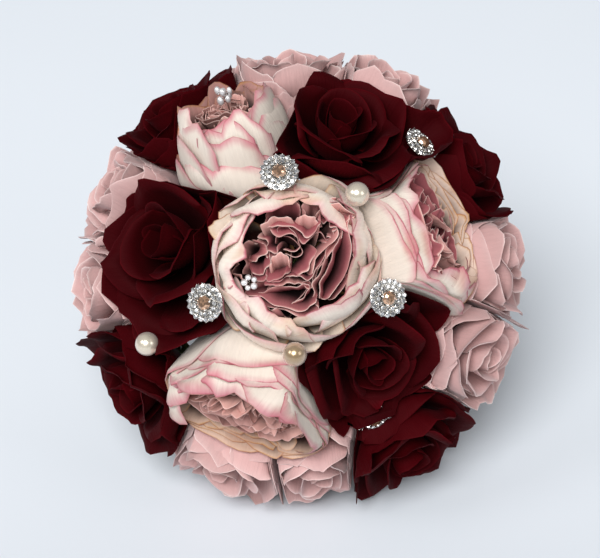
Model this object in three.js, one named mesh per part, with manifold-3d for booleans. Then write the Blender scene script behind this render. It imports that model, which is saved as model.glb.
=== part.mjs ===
// A round hand-tied posy of artificial roses and peonies, lying on a surface: four cream peonies with mauve
// hearts, seven burgundy roses and eight dusty pink roses on wire stems, set with rhinestone brooches, pearls
// and bead sprays, and bound with ribbon into a handle.
// Millimetres, +Z up. The posy is built in a frame of its own, whose +Z runs out of the top of the dome and
// whose origin is the middle of the dome's base, and is laid down on its side at the end.
import * as THREE from "three";
import { mergeVertices } from "three/addons/utils/BufferGeometryUtils.js";
import Module from "manifold-3d";

const wasm = await Module();
wasm.setup();

// Driving dimensions
const PETAL_THICKNESS = 0.8;
const SEAT_GAP = 0.3; // between a bloom and its calyx
const CELL_GAP = 0.3; // from a bloom's skin to the plane that it shares with a neighbour
const OVERHANG = 0.3; // how fast that plane leans out over the lower bloom of the two
const OVERHANG_DEPTH = 24;
const PROUD_OVERHANG = 0.6; // the same for the middle peony, which stands proud of its neighbours
const PROUD_DEPTH = 12; // depth at which it stands where it would without the lean
const PRESS_ZONE = 6; // depth over which a petal gives way before it reaches that plane
const STEM_RADIUS = 2.2;
const STEM_PITCH = 5; // between neighbouring stems in the handle
const WIRE_RADIUS = 0.55;
const BINDING_TOP = -58; // where the stems come together, in the posy's own frame
const RIBBON_TOP = -62;
const RIBBON_END = -148;
const STEM_END = -164;
const RIBBON_BORE = 12.8;
const RIBBON_RADIUS = 14.8;
const BROOCH_RADIUS = 10;
const BROOCH_DEPTH = 2.6;
const PEARL_RADIUS = 6.0;

// How the posy lies: its axis rises from the handle to the dome by LIE_TILT, and it is turned about that axis
// by LIE_ROLL, so that two blooms and the end of the handle touch the surface.
const LIE_TILT = 33.054;
const LIE_ROLL = -2.16;

const CREAM = 0xe9d6c4;
const MAUVE = 0xa86e72;
const BURGUNDY = 0x4a0710;
const DUSTY_PINK = 0xcfa3a2;
const STEM_GREEN = 0x4c5b34;
const SILVER = 0xd9dadd;
const CHAMPAGNE = 0xd9a884;
const IVORY_PEARL = 0xe6dcc6;
const CRYSTAL = 0xf2f5f8;
const IVORY_RIBBON = 0xeadfcd;

// Each bloom: its name and kind, the azimuth, reach and height of the middle of its opening, how far it
// leans out from the posy's axis, its radius, how its petals are turned, and its height in radii. A last value
// is the azimuth that it leans toward, where that isn't its own. Angles are in degrees. A bloom lies over
// those listed after it.
const BLOOM_TABLE = [
  ["peony_centre", "peony", 106, 10, 108, 4, 42, 10, 1.12],
  ["peony_top", "peony", 114, 105, 58, 66, 32, 35, 2.15, 107],
  ["burgundy_rose_1", "ring_rose", 75, 88, 80, 46, 38, 0, 1.12],
  ["burgundy_rose_3", "ring_rose", 311, 62, 84, 40, 36, 12, 1.15],
  ["burgundy_rose_2", "ring_rose", 165, 78, 79, 42, 45, 30, 1.05],
  ["peony_right", "peony", 23, 79, 76, 55, 46, 30, 1.1],
  ["peony_bottom", "peony", 250, 80, 73, 56, 48, 59, 1.05],
  ["burgundy_rose_4", "rim_rose", 127, 115, 36, 66, 39, 24, 1.05],
  ["burgundy_rose_5", "rim_rose", 36, 112, 36, 66, 38, 0, 1.05],
  ["burgundy_rose_6", "rim_rose", 214, 112, 36, 64, 39, 12, 1.05],
  ["burgundy_rose_7", "rim_rose", 301, 115, 34, 64, 39, 36, 1.05],
  ["pink_rose_1", "pink_rose", 94, 116, 32, 68, 36, 50, 1.05],
  ["pink_rose_2", "pink_rose", 66, 118, 32, 68, 36, 20, 1.05],
  ["pink_rose_3", "pink_rose", 152, 112, 38, 64, 36, 10, 1.05],
  ["pink_rose_4", "pink_rose", 183, 112, 32, 64, 36, 40, 1.05],
  ["pink_rose_5", "pink_rose", 6, 113, 34, 66, 36, 0, 1.05],
  ["pink_rose_6", "pink_rose", 337, 110, 42, 60, 38, 15, 1.05],
  ["pink_rose_7", "pink_rose", 247, 113, 32, 66, 38, 0, 1.05],
  ["pink_rose_8", "pink_rose", 276, 108, 40, 62, 38, 30, 1.05],
];

// How hard a bloom crowds its neighbours, where that isn't 1
const CROWDING = { peony_top: 1.4, burgundy_rose_2: 1.12 };

// Rings of petals from the outside in. A petal's midline is a cubic curve through out (distance from the
// bloom's axis, in radii) and up (height, in bloom heights). Half is its half width in radii, drop how far
// its corners round off, curl how far its rim rolls back, and lap how far it leans over the next petal.
const ROSE_OUTER = {
  out: [0.1, 0.5, 0.98, 1.0],
  up: [0.1, 0.08, 0.36, 0.68],
  half: 0.58,
  drop: 0.2,
  curl: 0.1,
  lap: 0.09,
};
const ROSE_MIDDLE = {
  out: [0.1, 0.4, 0.6, 0.68],
  up: [0.3, 0.28, 0.62, 0.88],
  half: 0.44,
  drop: 0.2,
  curl: 0.06,
  lap: 0.05,
};
const PEONY_GUARD = {
  out: [0.12, 0.8, 1.18, 0.97],
  up: [0.08, 0.0, 0.46, 0.8],
  half: 0.52,
  drop: 0.18,
  curl: 0,
  lap: 0.07,
};
const PEONY_CUP = {
  out: [0.12, 0.72, 1.0, 0.74],
  up: [0.24, 0.16, 0.66, 0.97],
  half: 0.48,
  drop: 0.14,
  curl: 0,
  lap: 0.05,
};
const HEART_OUTER = {
  out: [0.1, 0.32, 0.46, 0.48],
  up: [0.44, 0.44, 0.62, 0.86],
  half: 0.25,
  drop: 0.14,
  curl: 0,
  lap: 0.02,
};
const HEART_INNER = {
  out: [0.04, 0.12, 0.2, 0.22],
  up: [0.5, 0.56, 0.7, 0.84],
  half: 0.17,
  drop: 0.2,
  curl: 0,
  lap: 0,
};
// Stations along and across a petal
const FINE = { rows: [0, 0.4, 0.74, 1], columns: [-1, -0.42, 0.42, 1] };
const BENT = { rows: [0, 0.52, 1], columns: [-1, -0.42, 0.42, 1] };
const COARSE = { rows: [0, 0.55, 1], columns: [-1, 0, 1] };
// Each core is the solid middle of a bloom: pairs of height, in bloom heights, and radius, in bloom radii.
const ROSE_CORE = [[0, 0.18], [0.07, 0.28], [0.72, 0.3], [0.97, 0.14]];
const PEONY_CORE = [[0, 0.2], [0.05, 0.32], [0.3, 0.32], [0.34, 0.2]];
const HEART_CORE = [[0.35, 0.2], [0.4, 0.26], [0.56, 0.24], [0.68, 0.12]];
const KINDS = {
  peony: {
    colour: CREAM,
    core: PEONY_CORE,
    rings: [
      { ...PEONY_GUARD, ...FINE, count: 6 },
      { ...PEONY_CUP, ...FINE, count: 5 },
    ],
  },
  ring_rose: {
    colour: BURGUNDY,
    core: ROSE_CORE,
    rings: [
      { ...ROSE_OUTER, ...FINE, count: 5 },
      { ...ROSE_MIDDLE, ...COARSE, count: 4 },
    ],
  },
  rim_rose: {
    colour: BURGUNDY,
    core: ROSE_CORE,
    rings: [
      { ...ROSE_OUTER, ...BENT, count: 5 },
      { ...ROSE_MIDDLE, ...COARSE, half: 0.52, count: 3 },
    ],
  },
};
KINDS.pink_rose = { ...KINDS.rim_rose, colour: DUSTY_PINK };

// The brooches and pearls: where each one's middle stands over the dome, and how far its wire leans. The well
// is the gap between stems, near or far from the handle's axis, that the wire goes down.
const BROOCHES = [
  { azimuth: 101, reach: 52, height: 103, lean: 22, well: { near: true, azimuth: 90 } },
  { azimuth: 194, reach: 47, height: 100, lean: 24, well: { near: true, azimuth: 210 } },
  { azimuth: 348, reach: 43, height: 103, lean: 22, well: { near: true, azimuth: 330 } },
  { azimuth: 48, reach: 91, height: 57, lean: 54, well: { near: false, azimuth: 30 } },
  { azimuth: 298, reach: 79, height: 55, lean: 48, well: { near: false, azimuth: 270 } },
];
const PEARLS = [
  { azimuth: 56, reach: 49, height: 99, lean: 24, well: { near: true, azimuth: 30 } },
  { azimuth: 266, reach: 36, height: 102, lean: 20, well: { near: true, azimuth: 270 } },
  { azimuth: 203, reach: 82, height: 68, lean: 48, well: { near: false, azimuth: 210 } },
];
const WIRE_STRAIGHT = 58; // how far a wire runs straight in from its head

// The bead sprays: the bloom that each one stands in, its direction and distance from the bloom's axis, and
// the heights of its foot and its top bead in bloom heights.
const SPRAYS = [
  { bloom: "peony_centre", angle: 102, reach: 24, foot: 0.43, top: 0.98 },
  { bloom: "peony_top", angle: 253, reach: 4, foot: 0.688, top: 0.99 },
];

const radians = THREE.MathUtils.degToRad;
const vector = (x, y, z) => new THREE.Vector3(x, y, z);

// A repeatable number from 0 to 1 for a seed and a counter.
function chance(seed, counter) {
  const s = Math.sin(seed * 127.1 + counter * 311.7) * 43758.5453;
  return s - Math.floor(s);
}

function solidFrom(positions, triangles) {
  return new wasm.Manifold(
    new wasm.Mesh({
      numProp: 3,
      vertProperties: new Float32Array(positions),
      triVerts: new Uint32Array(triangles),
    }),
  );
}

function solidOfGeometry(geometry) {
  const bare = geometry.clone();
  bare.deleteAttribute("normal");
  bare.deleteAttribute("uv");
  const merged = mergeVertices(bare, 1e-4);
  return solidFrom(merged.attributes.position.array, merged.index.array);
}

function geometryOf(solid) {
  const { numProp, numVert, vertProperties, triVerts } = solid.getMesh();
  const positions = new Float32Array(numVert * 3);
  for (let i = 0; i < numVert; i++) {
    positions.set(vertProperties.subarray(i * numProp, i * numProp + 3), i * 3);
  }
  const geometry = new THREE.BufferGeometry();
  geometry.setAttribute("position", new THREE.BufferAttribute(positions, 3));
  geometry.setIndex(new THREE.BufferAttribute(new Uint32Array(triVerts), 1));
  geometry.computeVertexNormals();
  return geometry;
}

// The largest body of a solid, which drops loose scraps and sealed hollows.
function largestBody(solid) {
  return solid.decompose().reduce((best, body) => (body.volume() > best.volume() ? body : best));
}

function fuse(solids) {
  return largestBody(solids.reduce((all, solid) => all.add(solid)).simplify(0.04));
}

// A closed blade around a grid of points on its middle surface, split alike on both faces.
function blade(grid, thickness) {
  const rows = grid.length;
  const columns = grid[0].length;
  const positions = [];
  for (const side of [thickness / 2, -thickness / 2]) {
    for (let j = 0; j < rows; j++) {
      for (let i = 0; i < columns; i++) {
        const across = grid[j][Math.min(i + 1, columns - 1)].clone().sub(grid[j][Math.max(i - 1, 0)]);
        const along = grid[Math.min(j + 1, rows - 1)][i].clone().sub(grid[Math.max(j - 1, 0)][i]);
        const normal = across.cross(along).normalize();
        positions.push(...grid[j][i].clone().addScaledVector(normal, side).toArray());
      }
    }
  }
  const face = ([j, i]) => j * columns + i;
  const back = (corner) => rows * columns + face(corner);
  const triangles = [];
  for (let j = 0; j < rows - 1; j++) {
    for (let i = 0; i < columns - 1; i++) {
      const corners = [[j, i], [j, i + 1], [j + 1, i + 1], [j + 1, i]];
      const order = i < (columns - 1) / 2 ? [0, 1, 2, 0, 2, 3] : [1, 2, 3, 1, 3, 0];
      triangles.push(...order.map((n) => face(corners[n])));
      triangles.push(...order.reverse().map((n) => back(corners[n])));
    }
  }
  const rim = [];
  for (let i = 0; i < columns - 1; i++) rim.push([0, i]);
  for (let j = 0; j < rows - 1; j++) rim.push([j, columns - 1]);
  for (let i = columns - 1; i > 0; i--) rim.push([rows - 1, i]);
  for (let j = rows - 1; j > 0; j--) rim.push([j, 0]);
  rim.forEach((here, n) => {
    const next = rim[(n + 1) % rim.length];
    triangles.push(face(here), back(here), back(next));
    triangles.push(face(here), back(next), face(next));
  });
  return solidFrom(positions, triangles);
}

// A closed tube of changing radius along points, with flat ends.
function tube(points, radii, sides) {
  const positions = [];
  const triangles = [];
  let normal = vector(1, 0, 0);
  points.forEach((point, n) => {
    const before = points[Math.max(n - 1, 0)];
    const after = points[Math.min(n + 1, points.length - 1)];
    const along = after.clone().sub(before).normalize();
    normal = normal.clone().addScaledVector(along, -normal.dot(along)).normalize();
    const other = along.clone().cross(normal);
    for (let k = 0; k < sides; k++) {
      const angle = (2 * Math.PI * k) / sides;
      const spoke = normal.clone().multiplyScalar(Math.cos(angle)).addScaledVector(other, Math.sin(angle));
      positions.push(...point.clone().addScaledVector(spoke, radii[n]).toArray());
    }
  });
  const at = (n, k) => n * sides + (k % sides);
  const last = points.length - 1;
  for (let n = 0; n < last; n++) {
    for (let k = 0; k < sides; k++) {
      triangles.push(at(n, k), at(n, k + 1), at(n + 1, k + 1), at(n, k), at(n + 1, k + 1), at(n + 1, k));
    }
  }
  for (let k = 1; k < sides - 1; k++) {
    triangles.push(at(0, 0), at(0, k + 1), at(0, k));
    triangles.push(at(last, 0), at(last, k), at(last, k + 1));
  }
  return solidFrom(positions, triangles);
}

// The spot over the dome at an azimuth, reach and height, with the directions of a piece that leans there.
// Across points down and out at the rim side of the piece.
function spot({ azimuth, reach, height, lean, faces = azimuth }) {
  const outward = vector(Math.cos(radians(faces)), Math.sin(radians(faces)), 0);
  const tilt = radians(lean);
  const axis = outward.clone().multiplyScalar(Math.sin(tilt)).add(vector(0, 0, Math.cos(tilt)));
  const across = outward.clone().multiplyScalar(Math.cos(tilt)).add(vector(0, 0, -Math.sin(tilt)));
  const middle = vector(reach * Math.cos(radians(azimuth)), reach * Math.sin(radians(azimuth)), height);
  return { middle, axis, across, side: axis.clone().cross(across) };
}

const blooms = BLOOM_TABLE.map((row, rank) => {
  const [name, kind, azimuth, reach, height, lean, radius, turn, rise, faces] = row;
  const where = spot({ azimuth, reach, height, lean, faces });
  const tall = radius * rise;
  const seat = where.middle.clone().addScaledVector(where.axis, -tall);
  const belly = where.middle.clone().addScaledVector(where.axis, -0.5 * (tall - 1.1 * radius));
  return { name, kind, rank, azimuth, radius, turn, tall, seat, belly, ...where };
});

// What a petal must keep clear of beside other blooms: the heads and the straight wires of the brooches and
// pearls, each as a cylinder about its own axis.
const posts = [...BROOCHES, ...PEARLS].flatMap((pin, n) => {
  const where = spot(pin);
  const isBrooch = n < BROOCHES.length;
  const head = isBrooch
    ? { ...where, radius: BROOCH_RADIUS, low: -BROOCH_DEPTH, high: BROOCH_DEPTH }
    : { ...where, radius: 0.8 * PEARL_RADIUS, low: -PEARL_RADIUS, high: PEARL_RADIUS };
  return [head, { ...where, radius: WIRE_RADIUS, low: -WIRE_STRAIGHT, high: 0 }];
});

// The nearest point of a post to a point outside it.
function nearestOf(post, point) {
  const from = point.clone().sub(post.middle);
  const along = from.dot(post.axis);
  const aside = from.addScaledVector(post.axis, -along);
  return post.middle
    .clone()
    .addScaledVector(post.axis, THREE.MathUtils.clamp(along, post.low, post.high))
    .add(aside.clampLength(0, post.radius));
}

// The plane between two blooms. It stands between their middles by their radii and by how hard they crowd each
// other, and leans out over the lower bloom of the two.
function sharedWall(bloom, other) {
  const apart = other.belly.clone().sub(bloom.belly);
  const up = bloom.axis.clone().add(other.axis).normalize();
  const strength = ({ name, radius }) => radius * (CROWDING[name] ?? 1);
  const share = strength(bloom) / (strength(bloom) + strength(other));
  const isProud = bloom.rank === 0 || other.rank === 0;
  const depth = isProud ? PROUD_DEPTH : OVERHANG_DEPTH;
  const overhang = isProud ? PROUD_OVERHANG : OVERHANG;
  const foot = apart.clone().multiplyScalar(share).addScaledVector(up, -depth);
  const lean = bloom.rank < other.rank ? -overhang : overhang;
  const direction = apart.clone().normalize().addScaledVector(up, lean).normalize();
  foot.add(bloom.belly).sub(bloom.middle);
  return { direction, limit: foot.dot(direction), near: apart.length() * share };
}

// The planes that hold a bloom in: one shared with each neighbour, and one in front of each post near it.
function wallsOf(bloom) {
  const shared = blooms.filter((other) => other !== bloom).map((other) => sharedWall(bloom, other));
  const kept = posts.map((post) => {
    const apart = nearestOf(post, bloom.middle).sub(bloom.middle);
    return { direction: apart.clone().normalize(), limit: apart.length(), near: apart.length() };
  });
  return [...shared, ...kept].filter(({ near }) => near < 1.6 * bloom.radius);
}

// Presses a point of a bloom back from its walls, softly at first.
function press(point, bloom, walls, margin) {
  const pressed = point.clone();
  for (let sweep = 0; sweep < 4; sweep++) {
    for (const { direction, limit } of walls) {
      const reach = pressed.clone().sub(bloom.middle).dot(direction);
      const stop = limit - margin;
      const start = stop - PRESS_ZONE;
      if (sweep === 0 && reach > start) {
        const eased = stop - PRESS_ZONE * Math.exp((start - reach) / PRESS_ZONE);
        pressed.addScaledVector(direction, eased - reach);
      } else if (reach > stop) {
        pressed.addScaledVector(direction, stop - reach);
      }
    }
  }
  return pressed;
}

function cubic(values, t) {
  const s = 1 - t;
  const inner = 3 * s * s * t * values[1] + 3 * s * t * t * values[2];
  return s * s * s * values[0] + inner + t * t * t * values[3];
}

// A point of a petal in its bloom's own frame: t runs from its root to its rim, u from side to side.
function petalPoint(bloom, ring, angle, stretch, u, t) {
  const reach = t * (1 - ring.drop * Math.abs(u) ** 2.2) * stretch;
  const out = cubic(ring.out, reach) * bloom.radius;
  const up = cubic(ring.up, reach) * bloom.tall;
  const outward = (cubic(ring.out, reach + 0.02) - cubic(ring.out, reach - 0.02)) * bloom.radius;
  const upward = (cubic(ring.up, reach + 0.02) - cubic(ring.up, reach - 0.02)) * bloom.tall;
  const lap = (ring.lap * bloom.radius * u * Math.min(1, t / 0.3)) / Math.hypot(outward, upward);
  const rolled = Math.max(0, (reach - 0.7) / 0.3) ** 2 * ring.curl * bloom.radius;
  const filled = 0.1 + 0.9 * Math.sin(Math.min(t / 0.74, 1) * (Math.PI / 2)) ** 1.6;
  const half = ring.half * bloom.radius * filled;
  const bow = Math.max(1.1 * out, 0.12 * bloom.radius);
  const turned = (u * half) / bow;
  const radial = out + rolled + lap * upward + (Math.cos(turned) - 1) * bow;
  const aside = Math.sin(turned) * bow;
  return vector(
    radial * Math.cos(angle) - aside * Math.sin(angle),
    radial * Math.sin(angle) + aside * Math.cos(angle),
    up - lap * outward - 0.7 * rolled,
  );
}

// From a bloom's own frame to the posy's.
function toPosy(bloom, local) {
  return bloom.seat
    .clone()
    .addScaledVector(bloom.across, local.x)
    .addScaledVector(bloom.side, local.y)
    .addScaledVector(bloom.axis, local.z);
}

function ringPetals(bloom, walls, rings) {
  const margin = CELL_GAP + PETAL_THICKNESS / 2 + 0.15;
  return rings.flatMap((ring, layer) =>
    Array.from({ length: ring.count }, (_, n) => {
      const seed = bloom.azimuth + 10 * layer + n;
      const angle = radians(bloom.turn + 40 * layer + (360 * n) / ring.count + 6 * (chance(seed, 1) - 0.5));
      const stretch = 0.97 + 0.06 * chance(seed, 2);
      const surface = (u, t) => toPosy(bloom, petalPoint(bloom, ring, angle, stretch, u, t));
      const kept = (u, t) => press(surface(u, t), bloom, walls, margin);
      const grid = ring.rows.map((t) => ring.columns.map((u) => kept(u, t)));
      return blade(grid, PETAL_THICKNESS);
    }),
  );
}

// The petals of a bloom on its solid middle, a tube of changing radius up its axis.
function bloomSolid(bloom, walls, stations, rings) {
  const points = stations.map(([up]) => toPosy(bloom, vector(0, 0, up * bloom.tall)));
  const core = tube(points, stations.map(([, radius]) => radius * bloom.radius), 6);
  return fuse([core, ...ringPetals(bloom, walls, rings)]);
}

// The slots of the handle: one in the middle, six round it and twelve round those, packed close.
function slotsOfRing(ring) {
  const slots = [];
  for (let side = 0; side < 6; side++) {
    const from = radians(60 * side);
    const to = radians(60 * (side + 1));
    for (let n = 0; n < ring; n++) {
      const f = n / ring;
      slots.push({
        x: ring * STEM_PITCH * ((1 - f) * Math.cos(from) + f * Math.cos(to)),
        y: ring * STEM_PITCH * ((1 - f) * Math.sin(from) + f * Math.sin(to)),
      });
    }
  }
  return slots;
}

// Pairs blooms with slots in the order of their azimuths, so that no stem crosses another.
function assignSlots(group, slots) {
  const apart = (a, b) => Math.abs(((a - b + 900) % 360) - 180);
  const angleOf = (slot) => (THREE.MathUtils.radToDeg(Math.atan2(slot.y, slot.x)) + 360) % 360;
  const inOrder = [...group].sort((a, b) => a.azimuth - b.azimuth);
  const around = [...slots].sort((a, b) => angleOf(a) - angleOf(b));
  const slotAt = (n) => around[n % around.length];
  const costOf = (shift) =>
    inOrder.reduce((sum, { azimuth }, n) => sum + apart(azimuth, angleOf(slotAt(n + shift))) ** 2, 0);
  const shifts = around.map((_, shift) => shift).sort((a, b) => costOf(a) - costOf(b));
  inOrder.forEach((bloom, n) => {
    bloom.slot = slotAt(n + shifts[0]);
  });
}

blooms[0].slot = { x: 0, y: 0 };
assignSlots(blooms.slice(1, 7), slotsOfRing(1));
assignSlots(blooms.slice(7), slotsOfRing(2));

// A smooth line that leaves a start along a direction, to the top of the handle and down through it.
function routeToHandle(start, leaving, slot, steps, leave = 0.34, arrive = 0.42) {
  const top = vector(slot.x, slot.y, BINDING_TOP);
  const span = start.distanceTo(top);
  const curve = new THREE.CubicBezierCurve3(
    start,
    start.clone().addScaledVector(leaving, leave * span),
    top.clone().add(vector(0, 0, arrive * span)),
    top,
  );
  return [...curve.getPoints(steps), vector(slot.x, slot.y, STEM_END)];
}

// A stem with its calyx, and the five sepals that lie back under the petals.
function stemSolid(bloom, walls) {
  const down = bloom.axis.clone().negate();
  const calyxTop = bloom.seat.clone().addScaledVector(down, SEAT_GAP);
  const calyxFoot = calyxTop.clone().addScaledVector(down, 7);
  const route = [calyxTop, ...routeToHandle(calyxFoot, down, bloom.slot, 4)];
  const radii = route.map((_, n) => (n === 0 ? 0.18 * bloom.radius : STEM_RADIUS));
  const sepals = Array.from({ length: 5 }, (_, n) => {
    const angle = radians(72 * n + bloom.turn);
    const at = (out, up, aside = 0) => toPosy(bloom, vector(
      out * Math.cos(angle) - aside * Math.sin(angle),
      out * Math.sin(angle) + aside * Math.cos(angle),
      up,
    ));
    const corners = [at(1.5, -3.4), at(9, -2.6, 2.4), at(9, -1.7), at(9, -2.6, -2.4), at(16, -3.2)];
    const faces = [[0, 2, 1], [0, 3, 2], [0, 1, 3], [4, 1, 2], [4, 2, 3], [4, 3, 1]];
    const pressed = corners.map((corner) => press(corner, bloom, walls, CELL_GAP));
    return solidFrom(pressed.flatMap((corner) => corner.toArray()), faces.flat());
  });
  return fuse([tube(route, radii, 5), ...sepals]);
}

// A fine wire from a head on the dome, straight in between the blooms and then down a gap between the stems.
function wireSolid(pin) {
  const where = spot(pin);
  const reach = (pin.well.near ? 1 : 2) * (STEM_PITCH / Math.sqrt(3));
  const around = radians(pin.well.azimuth);
  const well = { x: reach * Math.cos(around), y: reach * Math.sin(around) };
  const down = where.axis.clone().negate();
  const knee = where.middle.clone().addScaledVector(down, WIRE_STRAIGHT);
  const top = where.middle.clone().addScaledVector(down, 1);
  const route = [top, ...routeToHandle(knee, down, well, 5, 0.3, 0.5)];
  return tube(route, route.map(() => WIRE_RADIUS), 3);
}

// A solid of revolution about a spot's axis, from pairs of radius and height that start and end on the axis.
function turned(where, profile, segments) {
  const lathe = new THREE.LatheGeometry(profile.map(([r, h]) => new THREE.Vector2(r, h)), segments);
  const frame = new THREE.Matrix4().makeBasis(where.side, where.axis, where.across);
  return solidOfGeometry(lathe.applyMatrix4(frame.setPosition(where.middle)));
}

// A round brooch: a metal dish with a ring of small stones round a raised cup, on its wire.
function broochSolid(pin) {
  const r = BROOCH_RADIUS - 0.3;
  const profile = [[0, -2.2], [r - 1.4, -2.2], [r, -0.6], [r - 0.8, 1], [5.2, 1.5], [4, 0.6], [0, 0.6]];
  return fuse([turned(spot(pin), profile, 10), wireSolid(pin)]);
}

function stoneSolid(pin) {
  return turned(spot(pin), [[0, 0.9], [3.3, 0.9], [3.6, 1.7], [2.2, 2.4], [0, 2.4]], 8);
}

function pearlSolid(pin) {
  const r = PEARL_RADIUS - 0.3;
  const bead = turned(spot(pin), [[0, -r], [0.7 * r, -0.7 * r], [r, 0], [0.7 * r, 0.7 * r], [0, r]], 8);
  return fuse([bead, wireSolid(pin)]);
}

// Five small beads, each on a branch of one short stalk.
function spraySolid(spray) {
  const bloom = blooms.find(({ name }) => name === spray.bloom);
  const angle = radians(spray.angle);
  const at = (x, y, up) => toPosy(bloom, vector(
    spray.reach * Math.cos(angle) + x,
    spray.reach * Math.sin(angle) + y,
    up,
  ));
  const top = spray.top * bloom.tall;
  const stalk = tube([at(0, 0, spray.foot * bloom.tall), at(0, 0, top - 6)], [0.6, 0.6], 4);
  const beads = Array.from({ length: 5 }, (_, n) => {
    const around = radians(72 * n);
    const middle = at(2.9 * Math.cos(around), 2.9 * Math.sin(around), top - 4 * chance(n, 3));
    const where = { ...spot({ azimuth: 0, reach: 0, height: 0, lean: 0 }), middle };
    const bead = turned(where, [[0, -1.6], [1.6, 0], [0, 1.6]], 4);
    return bead.add(tube([at(0, 0, top - 6.5), middle], [0.5, 0.5], 3));
  });
  return fuse([stalk, ...beads]);
}

const posy = new THREE.Group();

function addPiece(name, solid, colour, roughness, metalness = 0) {
  const material = new THREE.MeshStandardMaterial({ color: colour, roughness, metalness });
  const mesh = new THREE.Mesh(geometryOf(solid), material);
  mesh.name = name;
  posy.add(mesh);
}

for (const bloom of blooms) {
  const walls = wallsOf(bloom);
  const { core, rings, colour } = KINDS[bloom.kind];
  addPiece(bloom.name, bloomSolid(bloom, walls, core, rings), colour, 0.8);
  if (bloom.kind === "peony") {
    const ruffles = [{ ...HEART_OUTER, ...COARSE, count: 5 }, { ...HEART_INNER, ...COARSE, count: 3 }];
    addPiece(bloom.name + "_heart", bloomSolid(bloom, walls, HEART_CORE, ruffles), MAUVE, 0.8);
  }
  addPiece(bloom.name + "_stem", stemSolid(bloom, walls), STEM_GREEN, 0.7);
}
BROOCHES.forEach((pin, n) => {
  addPiece("brooch_" + (n + 1), broochSolid(pin), SILVER, 0.2, 1);
  addPiece("brooch_stone_" + (n + 1), stoneSolid(pin), CHAMPAGNE, 0.1);
});
PEARLS.forEach((pin, n) => addPiece("pearl_" + (n + 1), pearlSolid(pin), IVORY_PEARL, 0.25));
SPRAYS.forEach((spray, n) => addPiece("crystal_spray_" + (n + 1), spraySolid(spray), CRYSTAL, 0.05));

// The ribbon: a sleeve wound round the stems, open at both ends.
const sleeve = new THREE.LatheGeometry(
  [
    new THREE.Vector2(RIBBON_BORE, RIBBON_END),
    new THREE.Vector2(RIBBON_RADIUS, RIBBON_END),
    new THREE.Vector2(RIBBON_RADIUS, RIBBON_TOP),
    new THREE.Vector2(RIBBON_BORE, RIBBON_TOP),
    new THREE.Vector2(RIBBON_BORE, RIBBON_END),
  ],
  16,
).rotateX(Math.PI / 2);
addPiece("ribbon_wrap", solidOfGeometry(sleeve), IVORY_RIBBON, 0.35);

// Laid down: the posy is turned over onto its side, and its box is set on the surface, centred on the origin.
posy.rotation.set(radians(90 - LIE_TILT), 0, radians(LIE_ROLL), "XYZ");
const root = new THREE.Group();
root.add(posy);
root.updateMatrixWorld(true);
const box = new THREE.Box3().setFromObject(root, true);
const middle = box.getCenter(vector(0, 0, 0));
root.position.set(-middle.x, -middle.y, -box.min.z);

export default root;
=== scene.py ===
import math

import bpy
import numpy as np
from bpy.props import FloatProperty, FloatVectorProperty, IntProperty, PointerProperty
from mathutils import Matrix, Vector


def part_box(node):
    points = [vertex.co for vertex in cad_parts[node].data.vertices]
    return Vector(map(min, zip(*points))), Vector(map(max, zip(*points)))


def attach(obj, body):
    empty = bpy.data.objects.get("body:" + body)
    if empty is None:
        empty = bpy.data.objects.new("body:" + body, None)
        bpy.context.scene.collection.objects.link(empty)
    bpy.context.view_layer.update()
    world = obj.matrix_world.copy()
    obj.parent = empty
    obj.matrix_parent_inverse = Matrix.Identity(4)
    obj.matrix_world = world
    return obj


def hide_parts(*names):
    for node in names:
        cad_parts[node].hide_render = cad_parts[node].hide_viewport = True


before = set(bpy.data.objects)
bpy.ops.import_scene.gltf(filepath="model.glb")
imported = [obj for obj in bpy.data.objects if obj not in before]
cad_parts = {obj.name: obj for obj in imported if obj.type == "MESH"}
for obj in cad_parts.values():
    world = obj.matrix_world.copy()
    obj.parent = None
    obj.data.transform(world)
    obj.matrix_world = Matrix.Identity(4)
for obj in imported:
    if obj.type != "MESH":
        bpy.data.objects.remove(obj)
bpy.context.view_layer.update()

bl_info = {
    "name": "Rose and Peony Posy",
    "version": (1, 0, 0),
    "blender": (4, 5, 0),
    "location": "3D View > Sidebar > Posy",
    "description": "Petals, stems, brooches, pearls and ribbon of a hand-tied posy",
    "category": "Add Mesh",
}

# How the posy lies. Its own frame is in millimetres, with +Z out of the top of the dome.
MM = 0.001
LIE_TILT = math.radians(33.054)
LIE_ROLL = math.radians(-2.16)
HANDLE_MIDDLE = Vector((0.0, 0.0, -105.0)) * MM
TURN = Matrix.Rotation(math.pi / 2 - LIE_TILT, 3, "X") @ Matrix.Rotation(LIE_ROLL, 3, "Z")
HANDLE_LOW, HANDLE_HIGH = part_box("ribbon_wrap")
BASE = (Vector(HANDLE_LOW) + Vector(HANDLE_HIGH)) / 2 - TURN @ HANDLE_MIDDLE
TURN_ROWS = np.array(TURN)
BASE_POINT = np.array(BASE)

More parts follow.
